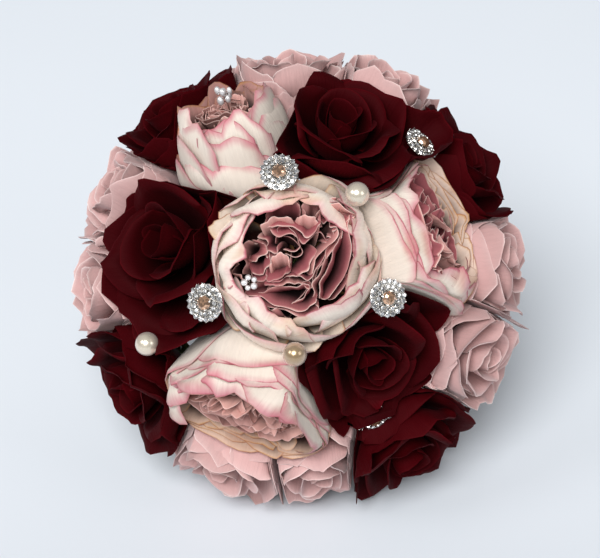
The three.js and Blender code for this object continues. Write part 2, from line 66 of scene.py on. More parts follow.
# Each bloom: kind, azimuth, reach, height, lean, radius, turn of its petals, and height in radii. Degrees and
# millimetres. A bloom lies over those listed after it.
BLOOMS = {
    "peony_centre": ("peony", 106, 10, 108, 4, 42, 10, 1.12),
    "peony_top": ("peony", 114, 105, 58, 66, 32, 35, 2.15, 107),
    "burgundy_rose_1": ("burgundy_rose", 75, 88, 80, 46, 38, 0, 1.12),
    "burgundy_rose_3": ("burgundy_rose", 311, 62, 84, 40, 36, 12, 1.15),
    "burgundy_rose_2": ("burgundy_rose", 165, 78, 79, 42, 45, 30, 1.05),
    "peony_right": ("peony", 23, 79, 76, 55, 46, 30, 1.1),
    "peony_bottom": ("peony", 250, 80, 73, 56, 48, 59, 1.05),
    "burgundy_rose_4": ("burgundy_rose", 127, 115, 36, 66, 39, 24, 1.05),
    "burgundy_rose_5": ("burgundy_rose", 36, 112, 36, 66, 38, 0, 1.05),
    "burgundy_rose_6": ("burgundy_rose", 214, 112, 36, 64, 39, 12, 1.05),
    "burgundy_rose_7": ("burgundy_rose", 301, 115, 34, 64, 39, 36, 1.05),
    "pink_rose_1": ("pink_rose", 94, 116, 32, 68, 36, 50, 1.05),
    "pink_rose_2": ("pink_rose", 66, 118, 32, 68, 36, 20, 1.05),
    "pink_rose_3": ("pink_rose", 152, 112, 38, 64, 36, 10, 1.05),
    "pink_rose_4": ("pink_rose", 183, 112, 32, 64, 36, 40, 1.05),
    "pink_rose_5": ("pink_rose", 6, 113, 34, 66, 36, 0, 1.05),
    "pink_rose_6": ("pink_rose", 337, 110, 42, 60, 38, 15, 1.05),
    "pink_rose_7": ("pink_rose", 247, 113, 32, 66, 38, 0, 1.05),
    "pink_rose_8": ("pink_rose", 276, 108, 40, 62, 38, 30, 1.05),
}
# What is particular to some blooms:
# bend, how many more degrees its mouth leans out than its foot
# crowding, how hard it crowds its neighbours
# sag, how far the base of its cups hangs below its seat, in bloom heights
# dips, how much shorter its outermost and innermost cups stand toward the middle of the posy
# girth, how wide its cups are beside its solid
PLAIN_BLOOM = {"bend": 0, "crowding": 1.0, "sag": 0.0, "dips": (0.0, 0.0), "girth": 1.0}
PARTICULARS = {
    "peony_centre": {"girth": 0.955},
    "peony_top": {"bend": -9, "crowding": 1.4, "sag": 0.4, "dips": (0.26, -0.03)},
    "peony_right": {"bend": 10, "sag": 0.08},
    "peony_bottom": {"bend": 10, "sag": 0.08, "dips": (0.13, 0.0)},
    "burgundy_rose_2": {"crowding": 1.12},
}
# How deep a bloom's bowl is in radii, from its mouth down, however tall the bloom is
BOWL_DEPTH = 1.1
# The lean at which a bloom counts as tipped right over, and how far off a neighbour still matters, in radii
FULL_TIP = 55
NEIGHBOUR_REACH = 1.6
# How fast the plane between two blooms leans out over the lower one, and the depth at which it stands where
# it would without the lean. The middle peony stands proud of its neighbours, and has values of its own.
OVERHANG = 0.3
OVERHANG_DEPTH = 24
PROUD_OVERHANG = 0.6
PROUD_DEPTH = 12

# Brooches and pearls: azimuth, reach, height, lean, and the gap between stems that the wire goes down
BROOCHES = [
    (101, 52, 103, 22, (1, 90)),
    (194, 47, 100, 24, (1, 210)),
    (348, 43, 103, 22, (1, 330)),
    (48, 91, 57, 54, (2, 30)),
    (298, 79, 55, 48, (2, 270)),
]
PEARLS = [
    (56, 49, 99, 24, (1, 30)),
    (266, 36, 102, 20, (1, 270)),
    (203, 82, 68, 48, (2, 210)),
]
# The brooch that petals may lie over, the bloom whose petals do, and how deep under it they may start
COVERED_BROOCH = 4
COVERING_BLOOM = "burgundy_rose_3"
COVER_DEPTH = 9
# The pins that are seen past the petals, each with the radius of the well left open over it
OPEN_PINS = [(BROOCHES[3], 8.0), (PEARLS[1], 6.0), (PEARLS[2], 6.5)]
WELL_HEIGHT = 40
# How much room petals leave over any other pin's head, how much further they duck under one than they would
# go aside, and how far they stay off a wire
HEAD_ROOM = 20
DUCKING = 4
WIRE_ROOM = 0.55

# The sizes of the pins and stems, and where the stems come together, the ribbon starts and ends and the stems
# end, in millimetres above the base of the dome
BROOCH_RADIUS = 10
BROOCH_DEPTH = 2.6
PEARL_RADIUS = 6.0
WIRE_RADIUS = 0.5
WIRE_STRAIGHT = 58
STEM_RADIUS = 2.2
STEM_PITCH = 5
BINDING_TOP = -58
RIBBON_TOP = -62
RIBBON_END = -148
STEM_END = -164

# How thick the zone is in which cloth gives way before it reaches a neighbour, how far that border swings
# from its plane, and the lengths of the waves that it swings in
PRESS_ZONE = 2.0
SWAY = 2.0
SWAY_LENGTHS = (46.0, 29.0)
# How far cloth stays off the border: the outermost petals, how much more each layer inside them, a heart's
# ruffles, and leaves
PETAL_MARGIN = 0.4
LAYER_MARGIN = 0.7
HEART_MARGIN = 4.5
LEAF_MARGIN = 1.0
# How high above the surface everything stays, in metres
FLOOR_GAP = 0.0003

# How a petal is worn, where its ring doesn't say otherwise:
# drop and round, how far its corners are cut back and how sharply
# curl, how far its rim rolls back, and lap, how far one side of it lifts over the next petal
# ripple and waves, how high its folds are and how close together
# point and scallop, how far its tip and its small scallops stand out
# cup, how wide it curves round, beside its distance from the bloom's axis
# spread, how unevenly a ring's petals stand in degrees, and tall, how unevenly high they are
# grow, how far it follows the room that is left beside a neighbour
# near and far, how much taller it is toward the middle of the posy and away from it, in a tipped bloom
# level, how far inside the bloom it is
PLAIN_PETAL = {
    "drop": 0.18,
    "round": 2.4,
    "curl": 0.0,
    "lap": 0.04,
    "ripple": 0.02,
    "waves": 1.1,
    "point": 0.0,
    "scallop": 0.012,
    "cup": 1.1,
    "spread": 6.0,
    "grow": 0.0,
    "near": 0.0,
    "far": 0.0,
    "tall": 0.05,
    "level": 0.0,
    "columns": 17,
    "rows": 18,
}


def ring(out, up, half, count, **more):
    """A ring of petals: profile in bloom radii and heights, half width, how many, and how they are worn."""
    return {"out": out, "up": up, "half": half, "count": count, **PLAIN_PETAL, **more}


def cup_rings(count, ripple, waves):
    """The cups of a peony from the outermost ring to the innermost."""
    rings = []
    for n in range(count):
        f = n / (count - 1)
        top = 0.68 + 0.4 * f - 0.11 * f * f
        level = n // 2 / ((count - 1) // 2)
        rings.append(
            ring(
                [0.12, 0.8 + 0.04 * f, 1.2 - 0.14 * f, 0.94 - 0.3 * f],
                [0.08 + 0.16 * f, 0.14 * f, 0.44 + 0.4 * f - 0.08 * f * f, top],
                0.8 - 0.3 * f,
                6 if n else 5,
                lap=0.08,
                drop=0.34 - 0.18 * f,
                ripple=ripple,
                waves=waves,
                scallop=0.012 + 0.018 * f,
                spread=11.0,
                grow=0.0 if n else 0.12,
                far=(0.93 - 0.24 * f) / top - 1,
                near=(0.76 + 0.16 * level - 0.02 * (n % 2)) / top - 1,
                level=level,
            )
        )
    return rings


RING_CUPS = cup_rings(4, 0.042, 1.6)
RIM_CUPS = cup_rings(6, 0.03, 1.3)
# The flared petal at the side of the middle peony
FLARED = ring([0.12, 0.8, 1.12, 1.18], [0.08, 0.0, 0.34, 0.66], 0.28, 1, drop=0.3, point=0.1, curl=0.05)
FLARED_ANGLE = 52

# The ruffles of a peony's heart, seen from above: points along the rim in hundredths of a bloom radius, which
# way the foot of the cloth lies from it in bloom radii, the height of the rim, which is 1 at the bloom's
# mouth and 0 at the depth of its bowl, and how much it ripples. The pale ones also have how pale they are.
RUFFLES = [
    ([(-31, 48), (-23, 58), (-9, 63), (3, 60), (5, 48)], (0.0, -0.1), 0.9, 0.01),
    ([(23, 48), (28, 56), (43, 60), (61, 58), (63, 47), (55, 41)], (0.0, -0.1), 0.9, 0.01),
    ([(9, 50), (11, 61), (22, 65), (26, 60)], (-0.02, -0.16), 0.86, 0.02),
    ([(-32, 38), (-20, 36), (-2, 32), (13, 23), (24, 37), (26, 43)], (0.02, 0.2), 0.94, 0.02),
    ([(24, 41), (35, 39), (43, 30), (35, 22)], (0.03, 0.14), 0.88, 0.02),
    ([(12, 22), (22, 30), (35, 22), (30, 17)], (-0.04, 0.1), 0.85, 0.02),
    ([(-20, 24), (-18, 33), (-8, 32), (4, 24), (8, 15), (0, 10), (-11, 14)], (0.0, 0.03), 0.9, 0.01),
    ([(-39, 27), (-30, 20), (-29, 11), (-21, 8), (-17, 15)], (0.06, 0.12), 0.84, 0.02),
    ([(-38, 21), (-28, 11), (-39, 0), (-47, -1)], (-0.17, 0.07), 0.86, 0.01),
    ([(-47, -2), (-44, -14), (-34, -16), (-29, -8), (-25, 5)], (-0.05, 0.2), 0.88, 0.01),
    ([(-31, -15), (-29, -20), (-17, -21), (-6, -15), (-5, -2)], (0.02, 0.2), 0.92, 0.01),
    ([(-4, -17), (9, -15), (17, -4), (24, 11)], (-0.12, 0.13), 0.9, 0.01),
    ([(-30, -24), (-17, -23), (-6, -18), (4, -17), (15, -22), (24, -9), (35, 11)], (0.0, 0.08), 0.93, 0.02),
    ([(45, 41), (45, 26), (30, 9), (22, -4), (17, -17)], (-0.08, 0.06), 0.92, 0.01),
    ([(48, 26), (40, 9), (35, -9), (26, -26), (26, -40)], (0.1, -0.02), 0.93, 0.01),
    ([(60, 56), (57, 37), (60, 9), (52, -17), (37, -39), (25, -39)], (-0.07, 0.0), 0.9, 0.01),
    ([(62, 45), (66, 26), (64, 0), (56, -20)], (0.08, 0.02), 0.88, 0.02),
    ([(-50, -37), (-32, -30), (-11, -29), (9, -26), (16, -30), (4, -43), (-6, -49)], (0, -0.08), 0.86, 0.02),
    ([(-53, -37), (-32, -42), (-11, -50), (13, -53), (23, -45), (23, -37)], (0.0, 0.12), 0.9, 0.02),
    ([(-55, -49), (-41, -45), (-26, -50), (-15, -55)], (0.1, -0.17), 0.84, 0.02),
    ([(-61, 9), (-63, -9), (-52, -22), (-39, -26)], (-0.08, -0.02), 0.82, 0.03),
    ([(-49, 22), (-56, 10), (-52, -4), (-56, -14)], (0.06, 0.0), 0.86, 0.02),
    ([(-26, -6), (-23, 3), (-15, 7), (-7, 3), (-5, -6)], (0.02, -0.2), 0.97, 0.005, 1.0),
    ([(-36, 36), (-24, 44), (-8, 45), (2, 38)], (0.03, -0.12), 0.96, 0.01, 1.0),
    ([(0, 42), (10, 47), (22, 44), (26, 34)], (-0.02, -0.18), 0.95, 0.01, 0.9),
]
# How each peony's heart stands beside the way that the table shows it: its turn in degrees, -1 where it is
# mirrored, how wide it is, how far it is moved toward the middle of the posy in bloom radii, and how much
# higher it is in millimetres
HEARTS = {
    "peony_centre": (-106, 1, 1.08, 0.0, -2.0),
    "peony_top": (60, -1, 0.8, -0.16, -4.0),
    "peony_right": (150, 1, 1.1, 0.06, 3.0),
    "peony_bottom": (-40, -1, 0.9, -0.04, 5.0),
}
# The height of a ruffle's foot. A long ruffle has a second one behind it: how far behind, in bloom radii, and
# how much lower.
HEART_FOOT = 0.42
ECHO_BEHIND = 0.065
ECHO_LOWER = 0.06

# The cloth of each peony's cups: its finish's name, how bright its outside is, which is painted light on the
# middle peony's shaded cups, its inside, the patches near its inner rims, where its inside darkens with
# painted shade, how far the blush spreads, and whether the heart is of pale cloth
PEONY_CLOTHS = {
    "peony_centre": ("Cream petal cloth", 1.26, "e4d4c4", "d2b078", (0.95, 0.5), 0.6, False),
    "peony_top": ("Rosy petal cloth", 1.0, "c89890", "b47874", (1.0, 0.7), 1.0, True),
    "peony_right": ("Blushed petal cloth", 1.0, "dcc4b4", "c08c62", (1.0, 0.7), 1.0, False),
    "peony_bottom": ("Tanned petal cloth", 1.0, "d4b4a0", "9a6a54", (1.0, 0.7), 1.0, True),
}

# The reaches past which a bloom is one of the ring round the middle peony, and one of the rim
INNER_REACH = 50
OUTER_REACH = 100
# Sepals, and the leaves of the rim's blooms: length, half width, the height of the foot over the bloom's
# seat, and how far the tip bows up
SEPAL = (19, 4.2, -3.0, 0.1)
LEAF = (36, 9.5, -6.0, 0.3)
LEAF_THICKNESS = 0.0004
# The calyx: how far below its top each of its rings lies, with the ring's size in bloom radii, then how far
# its top is below the bloom's seat, and how deep it is
CALYX = ((0.0, 0.18), (1.5, 0.16), (4.5, 0.09))
CALYX_TOP = 0.3
CALYX_DEPTH = 7
# The pearl of the darker colour
BRONZE_PEARL = 2

# The bead sprays: the peony, the angle and reach of the foot in it, the heights of the foot and the top in
# bloom heights, how many beads there are, how long a bead is beside its width, and whether they spread freely
SPRAYS = [
    ("peony_centre", 102, 24, 0.43, 0.98, 5, 1.0, False),
    ("peony_top", 253, 4, 0.688, 0.99, 7, 1.45, True),
]
# How far below a spray's top its stalk ends and its threads start, how thick they are, and how far a thread
# bows
STALK_DROP = 5.5
THREAD_DROP = 6.0
STALK_RADIUS = 0.45
THREAD_RADIUS = 0.3
THREAD_BOW = 1.2

# How the outer petals of a burgundy rose are worn, and how finely the small ones of a bud are divided
ROLLED = {"drop": 0.2, "ripple": 0.05}
BUD = {"rows": 16, "columns": 15}


def rose_rings(near, **more):
    """The rings of a burgundy rose, with how much taller its near side stands."""
    worn = {**ROLLED, "near": near, **more}
    return [
        ring([0.1, 0.5, 1.0, 1.08], [0.1, 0.06, 0.34, 0.64], 0.86, 5, **worn, curl=0.15, grow=0.9),
        ring([0.1, 0.44, 0.84, 0.84], [0.2, 0.16, 0.46, 0.8], 0.74, 5, **worn, curl=0.14, grow=0.3),
        ring([0.1, 0.36, 0.58, 0.6], [0.28, 0.28, 0.6, 0.91], 0.62, 4, **worn, curl=0.12),
        ring([0.08, 0.26, 0.38, 0.36], [0.34, 0.36, 0.68, 0.97], 0.5, 3, lap=0.08, ripple=0.03, curl=0.07),
        ring([0.05, 0.14, 0.2, 0.17], [0.42, 0.44, 0.74, 0.96], 0.3, 3, lap=0.07, curl=0.03, **BUD),
    ]


RING_ROSE = rose_rings(0.0, point=0.2, waves=1.4)
RIM_ROSE = rose_rings(0.12, point=0.22, waves=1.5, scallop=0.02)

# How the outer petals of a pink rose are worn, and all its rings from the outermost to the innermost
LOOSE = {"drop": 0.24, "ripple": 0.06, "waves": 1.5, "scallop": 0.025, "near": 0.15, "curl": 0.07}
PINK_ROSE = [
    ring([0.1, 0.6, 1.06, 1.16], [0.1, 0.04, 0.3, 0.52], 0.96, 6, **LOOSE, point=0.3, grow=0.9),
    ring([0.1, 0.5, 0.92, 0.96], [0.18, 0.12, 0.42, 0.68], 0.76, 5, **LOOSE, point=0.28, grow=0.3),
    ring([0.1, 0.42, 0.74, 0.74], [0.26, 0.22, 0.54, 0.83], 0.64, 5, **LOOSE, point=0.2),
    ring([0.08, 0.32, 0.5, 0.5], [0.32, 0.32, 0.64, 0.92], 0.52, 4, **LOOSE, lap=0.08),
    ring([0.06, 0.2, 0.3, 0.28], [0.38, 0.4, 0.72, 0.97], 0.38, 3, ripple=0.04, curl=0.04, **BUD, lap=0.08),
    ring([0.04, 0.1, 0.14, 0.1], [0.42, 0.46, 0.78, 0.96], 0.2, 2, lap=0.07, curl=0.03, rows=14, columns=11),
]


def paint(code):
    """A linear colour from six hexadecimal digits."""
    parts = [int(code[n : n + 2], 16) / 255 for n in (0, 2, 4)]
    return tuple(p / 12.92 if p <= 0.04045 else ((p + 0.055) / 1.055) ** 2.4 for p in parts)


def a_length(name, description, default):
    """A length that a user may change."""
    return FloatProperty(name=name, description=description, default=default, unit="LENGTH")


def a_colour(name, description, code):
    """A colour that a user may change."""
    return FloatVectorProperty(name=name, description=description, default=paint(code), subtype="COLOR")


def a_count(name, description, default, least, most):
    """A number of parts that a user may change."""
    return IntProperty(name=name, description=description, default=default, min=least, max=most)


class PosyPetals(bpy.types.PropertyGroup):
    """Sizes and colours of the petals."""

    thickness: a_length("Thickness", "Thickness of a petal's cloth", 0.0004)
    ruffle: a_length("Ruffle", "Height of the small ruffles near a rim", 0.0012)
    ruffle_size: a_length("Ruffle size", "Width of one ruffle", 0.012)
    cream: a_colour("Cream", "Outside of a peony's cups", "e0d4c8")
    blush: a_colour("Blush", "Margins of a peony's cups", "c2687a")
    gold: a_colour("Gold", "Tan shade inside a peony's cups", "c2925e")
    mauve: a_colour("Mauve", "Ruffles in a peony's heart", "a85f64")
    pale_mauve: a_colour("Pale mauve", "Ruffles in the two paler hearts", "c2928a")
    burgundy: a_colour("Burgundy", "The dark roses", "3e0106")
    dusty_pink: a_colour("Dusty pink", "The pale roses", "cfa6a3")


class PosyStems(bpy.types.PropertyGroup):
    """Sizes and colours of the stems and leaves."""

    radius: a_length("Stem radius", "Radius of a stem", STEM_RADIUS * MM)
    wire_radius: a_length("Wire radius", "Radius of a pin's wire", WIRE_RADIUS * MM)
    sides: a_count("Sides", "Faces round a stem", 12, 3, 32)
    green: a_colour("Green", "Stems and leaves", "4f5f33")


class PosyJewels(bpy.types.PropertyGroup):
    """Sizes and colours of the brooches, pearls and sprays."""

    brooch_radius: a_length("Brooch radius", "Outer radius of a brooch", 0.0097)
    stones: a_count("Outer stones", "Clear stones in a brooch's outer ring", 18, 6, 24)
    inner_stones: a_count("Inner stones", "Clear stones in a brooch's inner ring", 13, 5, 18)
    pearl_radius: a_length("Pearl radius", "Radius of a pearl", 0.0059)
    bead_radius: a_length("Bead radius", "Radius of a spray's bead", 0.0015)
    silver: a_colour("Silver", "Settings and wires", "dcd9d4")
    champagne: a_colour("Champagne", "A brooch's centre stone", "e8b793")
    ivory: a_colour("Ivory", "Two of the pearls", "e2d8c4")
    bronze: a_colour("Bronze", "The darker pearl", "a88e6a")


class PosyRibbon(bpy.types.PropertyGroup):
    """Sizes and colour of the ribbon round the handle."""

    width: a_length("Width", "Width of the ribbon", 0.024)
    turns: FloatProperty(name="Turns", description="Turns of the ribbon round the handle", default=6.0)
    radius: a_length("Radius", "Radius of the bound handle", 0.0146)
    satin: a_colour("Satin", "Colour of the ribbon", "ecdfcc")


class PosyStage(bpy.types.PropertyGroup):
    """The floor, the lights and how far off the camera stands."""

    distance: a_length("Distance", "From the camera to the base of the dome", 1.1)
    lens: FloatProperty(name="Lens", description="Focal length in millimetres", default=125.5)
    floor: a_colour("Floor", "Colour of the floor", "e7edf4")


def spot(azimuth, reach, height, lean, faces=None):
    """Where a piece stands over the dome, with its axis and the two directions across it."""
    a, tilt = math.radians(azimuth), math.radians(lean)
    way = a if faces is None else math.radians(faces)
    outward = np.array([math.cos(way), math.sin(way), 0.0])
    up = np.array([0.0, 0.0, 1.0])
    axis = outward * math.sin(tilt) + up * math.cos(tilt)
    across = outward * math.cos(tilt) - up * math.sin(tilt)
    middle = np.array([reach * math.cos(a), reach * math.sin(a), height])
    return middle, axis, across, np.cross(axis, across)


class Bloom:
    """One bloom's place in the posy and the walls that hold its petals in."""

    def __init__(self, rank, name, kind, azimuth, reach, height, lean, radius, turn, rise, faces=None):
        worn = {**PLAIN_BLOOM, **PARTICULARS.get(name, {})}
        self.rank, self.name, self.kind, self.azimuth = rank, name, kind, azimuth
        self.reach, self.radius, self.turn = reach, radius, turn
        self.middle, self.axis, self.across, self.side = spot(azimuth, reach, height, lean, faces)
        self.tall = radius * rise
        self.bend = math.radians(worn["bend"])
        self.tip = min(1.0, lean / FULL_TIP)
        self.sag, self.dips, self.girth = worn["sag"], worn["dips"], worn["girth"]
        self.strength = radius * worn["crowding"]
        self.seat = self.middle - self.axis * self.tall
        self.belly = self.middle - 0.5 * (self.tall - BOWL_DEPTH * radius) * self.axis
        self.walls = []
        self.slot = (0.0, 0.0)

    def growth(self, angle):
        """How much longer a petal at an angle grows, to reach the wall of the bloom beside it."""
        direction = self.across * math.cos(angle) + self.side * math.sin(angle)
        start = -0.3 * self.tall * self.axis
        reach = 1.4 * self.radius
        near = False
        for wall, limit, _ in self.walls:
            slope = direction @ wall
            if slope > 0.15:
                distance = (limit - start @ wall) / slope
                near = near or distance < reach
                reach = min(reach, distance)
        return max(0.0, 1.06 * reach / self.radius - 1) if near else 0.0

    def place(self, points):
        """Points of the bloom's own frame in the posy's, with its mouth bent over."""
        if self.bend:
            height = points[..., 2] / self.tall
            turn = self.bend * np.clip(height, 0, 1.2) ** 2
            out, up = points[..., 0], points[..., 2] - 0.45 * self.tall
            bent_out = out * np.cos(turn) + up * np.sin(turn)
            bent_up = up * np.cos(turn) - out * np.sin(turn)
            points = np.stack([bent_out, points[..., 1], bent_up + 0.45 * self.tall], axis=-1)
        sideways = points[..., :1] * self.across + points[..., 1:2] * self.side
        return self.seat + sideways + points[..., 2:] * self.axis


POSY_BLOOMS = [Bloom(rank, name, *row) for rank, (name, row) in enumerate(BLOOMS.items())]


def pin_posts():
    """What petals keep clear of: each pin's head and straight wire, as cylinders about its axis."""
    posts = []
    for n, pin in enumerate(BROOCHES + PEARLS):
        middle, axis, _, _ = spot(*pin[:4])
        if n < len(BROOCHES):
            posts.append((middle, axis, BROOCH_RADIUS, -BROOCH_DEPTH, BROOCH_DEPTH))
        else:
            posts.append((middle, axis, 0.8 * PEARL_RADIUS, -PEARL_RADIUS, PEARL_RADIUS))
        posts.append((middle, axis, WIRE_ROOM, -WIRE_STRAIGHT, 0.0))
    for pin, radius in OPEN_PINS:
        posts.append((spot(*pin[:4])[0], np.array([0.0, 0.0, 1.0]), radius, 0.0, WELL_HEIGHT))
    return posts


POSTS = pin_posts()


def find_walls():
    """Gives each bloom the planes that it shares with its neighbours."""
    for n, bloom in enumerate(POSY_BLOOMS):
        for m, other in enumerate(POSY_BLOOMS):
            if m == n:
                continue
            apart = other.belly - bloom.belly
            distance = np.linalg.norm(apart)
            share = distance * bloom.strength / (bloom.strength + other.strength)
            if share > NEIGHBOUR_REACH * bloom.radius:
                continue
            up = (bloom.axis + other.axis) / np.linalg.norm(bloom.axis + other.axis)
            is_proud = 0 in (bloom.rank, other.rank)
            overhang, depth = (PROUD_OVERHANG, PROUD_DEPTH) if is_proud else (OVERHANG, OVERHANG_DEPTH)
            foot = apart / distance * share - depth * up
            direction = apart / distance + (-overhang if bloom.rank < other.rank else overhang) * up
            direction /= np.linalg.norm(direction)
            foot = foot + bloom.belly - bloom.middle
            seed = 31 * min(n, m) + max(n, m)
            bloom.walls.append((direction, foot @ direction, (seed, 1 if n < m else -1)))


def clear_of_posts(points, margin, may_cover):
    """Moves points off the pins: aside, down under a head, or over one that lies under petals."""
    for n, (middle, axis, radius, low, high) in enumerate(POSTS):
        from_middle = points - middle
        along = from_middle @ axis
        aside = from_middle - along[:, None] * axis
        length = np.maximum(np.linalg.norm(aside, axis=1), 1e-6)
        out = radius + margin - length
        under = along - (low - margin)
        is_covered = may_cover and n // 2 == COVERED_BROOCH
        inside = (out > 0) & (under > 0) & (along < high + margin + (0 if is_covered else HEAD_ROOM))
        is_head = 1 < radius and low < 0
        if is_covered and is_head:
            over = (out > 0) & (along > -COVER_DEPTH) & (along < high + margin)
            points = points + np.where(over, high + margin - along, 0)[:, None] * axis
            inside = inside & ~over
        down = inside & is_head & (under < out + DUCKING)
        sideways = inside & ~down
        points = points - np.where(down, under, 0)[:, None] * axis
        points = points + np.where(sideways, out / length, 0)[:, None] * aside
    return points


def sway_of(points, pair):
    """How far the wall between two blooms swings from its plane, alike for both of them."""
    number, sign = pair
    dice = np.random.default_rng(number)
    total = 0.0
    for length in SWAY_LENGTHS:
        direction = dice.normal(size=3)
        direction /= np.linalg.norm(direction)
        total = total + np.sin(points @ direction * (2 * math.pi / length) + dice.uniform(0, 2 * math.pi))
    return 0.5 * sign * SWAY * total


def press(points, bloom, margin):
    """Presses points back from the bloom's walls, softly at first."""
    shape = points.shape
    points = points.reshape(-1, 3)
    for sweep in range(4):
        for direction, limit, pair in bloom.walls:
            reach = (points - bloom.middle) @ direction
            stop = limit - margin + sway_of(points, pair)
            start = stop - PRESS_ZONE
            if sweep == 0:
                soft = stop - PRESS_ZONE * np.exp(np.minimum(0.0, (start - reach) / PRESS_ZONE))
                wanted = np.where(reach > start, soft, reach)
            else:
                wanted = np.minimum(reach, stop)
            points = points + (wanted - reach)[:, None] * direction
    return clear_of_posts(points, margin, bloom.name == COVERING_BLOOM).reshape(shape)


def cubic(values, t):
    """A value on a cubic curve with four guiding values."""
    s = 1 - t
    return s**3 * values[0] + 3 * s * s * t * values[1] + 3 * s * t * t * values[2] + t**3 * values[3]


def wave_of(dice, u, waves, drift=0.0):
    """A smooth line across a petal, about one high, made of three sines."""
    total = 0.0
    for n in range(3):
        rate = waves * (0.6 + 0.45 * n) * math.pi
        height = dice.normal()
        total = total + height * np.sin(rate * u + dice.uniform(0, 2 * math.pi) + drift) / (1 + 0.6 * n)
    return total


def sheet_of(points, u, t, tone, free, rim, cloth):
    """A sheet's points, and what the cloth tree and the finishes read at each of them."""
    inner = np.zeros(u.shape)
    inner[1:-1, 1:-1] = 1
    place = np.stack([u, t, np.full_like(u, tone)], -1)
    across, along, number = cloth
    cloth = np.stack([across, along, np.full_like(u, float(number))], -1)
    return {"points": points, "place": place, "cloth": cloth, "free": free, "rim": rim, "inner": inner}


def petal(bloom, shape, angle, dice):
    """The middle surface of one petal in the bloom's own frame, with its distances from the rim."""
    r, tall = bloom.radius * bloom.girth, bloom.tall
    steps = np.linspace(-1, 1, shape["columns"])
    u = np.sin(steps * math.pi / 2) * 0.8 + steps * 0.2
    t = 1 - (1 - np.linspace(0, 1, shape["rows"])) ** 1.35
    u, t = np.meshgrid(u, t)
    stretch = 0.97 + 0.06 * dice.uniform()

    # How much taller the petal is on its side of the bloom, where the bloom is tipped over
    facing_in = -math.cos(angle)
    first, last = bloom.dips
    nearer = shape["near"] - last - (first - last) * (1 - shape["level"])
    higher = (nearer * max(0.0, facing_in) + shape["far"] * max(0.0, -facing_in)) * bloom.tip
    tall = tall * (1 + higher + shape["tall"] * dice.uniform(-1, 1))
    heights = [shape["up"][0], shape["up"][1] - bloom.sag, *shape["up"][2:]]

    # The outline: small scallops and a point. One draw is passed over, which keeps those after it.
    edge = shape["scallop"] * wave_of(dice, u, 3.0)
    dice.normal()
    edge = edge + shape["point"] * dice.uniform() * np.exp(-np.abs(u - 0.2 * dice.normal()) / 0.2)
    reach = t * (1 - shape["drop"] * np.abs(u) ** shape["round"] + edge) * stretch

    # The profile, with its direction, from the foot to the rim
    facing = bloom.growth(angle) * shape["grow"]
    out, up = cubic(shape["out"], reach) * r * (1 + facing * t), cubic(heights, reach) * tall
    outward = (cubic(shape["out"], reach + 0.02) - cubic(shape["out"], reach - 0.02)) * r
    upward = (cubic(heights, reach + 0.02) - cubic(heights, reach - 0.02)) * tall
    length = np.hypot(outward, upward)

    # How far the cloth lifts off that profile, how wide it is, and how its rim rolls back
    free = np.clip((t - 0.35) / 0.65, 0, 1) ** 1.4
    lift = shape["lap"] * r * u * np.minimum(1, t / 0.3)
    lift = lift + shape["ripple"] * r * free * wave_of(dice, u, shape["waves"], 1.5 * t)
    half = shape["half"] * r * (0.1 + 0.9 * np.sin(np.minimum(t / 0.74, 1) * (math.pi / 2)) ** 1.6)
    rim = np.minimum((1 - np.abs(u)) * half, (1 - t) * tall)
    rolled = np.clip(1 - rim / (0.24 * r), 0, 1) ** 2 * np.clip((t - 0.4) / 0.5, 0, 1)
    rolled = rolled * shape["curl"] * r * dice.uniform(0.6, 1.4)

    bow = np.maximum(shape["cup"] * out, 0.12 * r)
    turned = u * half / bow
    radial = out + rolled + lift * upward / length + (np.cos(turned) - 1) * bow
    aside = np.sin(turned) * bow
    up = up - lift * outward / length - 0.85 * rolled
    points = turned_about(radial, aside, up, angle)
    return points, u, t, rim, u * half, free


def turned_about(out, aside, up, angle):
    """Points at an angle round a bloom's axis, from how far out, aside and up they are."""
    x = out * math.cos(angle) - aside * math.sin(angle)
    y = out * math.sin(angle) + aside * math.cos(angle)
    return np.stack([x, y, up], axis=-1)


def petals_of(bloom, rings):
    """All the petals of a bloom's rings as middle surfaces in the posy's frame."""
    sheets = []
    for layer, shape in enumerate(rings):
        for n in range(shape["count"]):
            dice = np.random.default_rng([int(bloom.azimuth), layer, n])
            degrees = bloom.turn + 40 * layer + 360 * n / shape["count"]
            degrees = degrees + shape["spread"] * dice.uniform(-1, 1)
            if shape is FLARED:
                degrees = FLARED_ANGLE
            points, u, t, rim, aside, free = petal(bloom, shape, math.radians(degrees), dice)
            margin = PETAL_MARGIN + LAYER_MARGIN * layer + 0.25 * (n % 3)
            points = press(bloom.place(points), bloom, margin)
            cloth = (aside, t * bloom.tall, n)
            sheets.append(sheet_of(points, u, t, dice.uniform(), free, rim, cloth))
    return sheets


def through(points, count):
    """Places at even steps along a smooth line through points."""
    ends = np.concatenate([[2 * points[0] - points[1]], points, [2 * points[-1] - points[-2]]])
    at = np.linspace(0, len(points) - 1, count)
    n = np.minimum(at.astype(int), len(points) - 2)
    f = (at - n)[:, None]
    a, b, c, d = ends[n], ends[n + 1], ends[n + 2], ends[n + 3]
    return 0.5 * (2 * b + (c - a) * f + (2 * a - 5 * b + 4 * c - d) * f * f + (3 * b - a - 3 * c + d) * f**3)


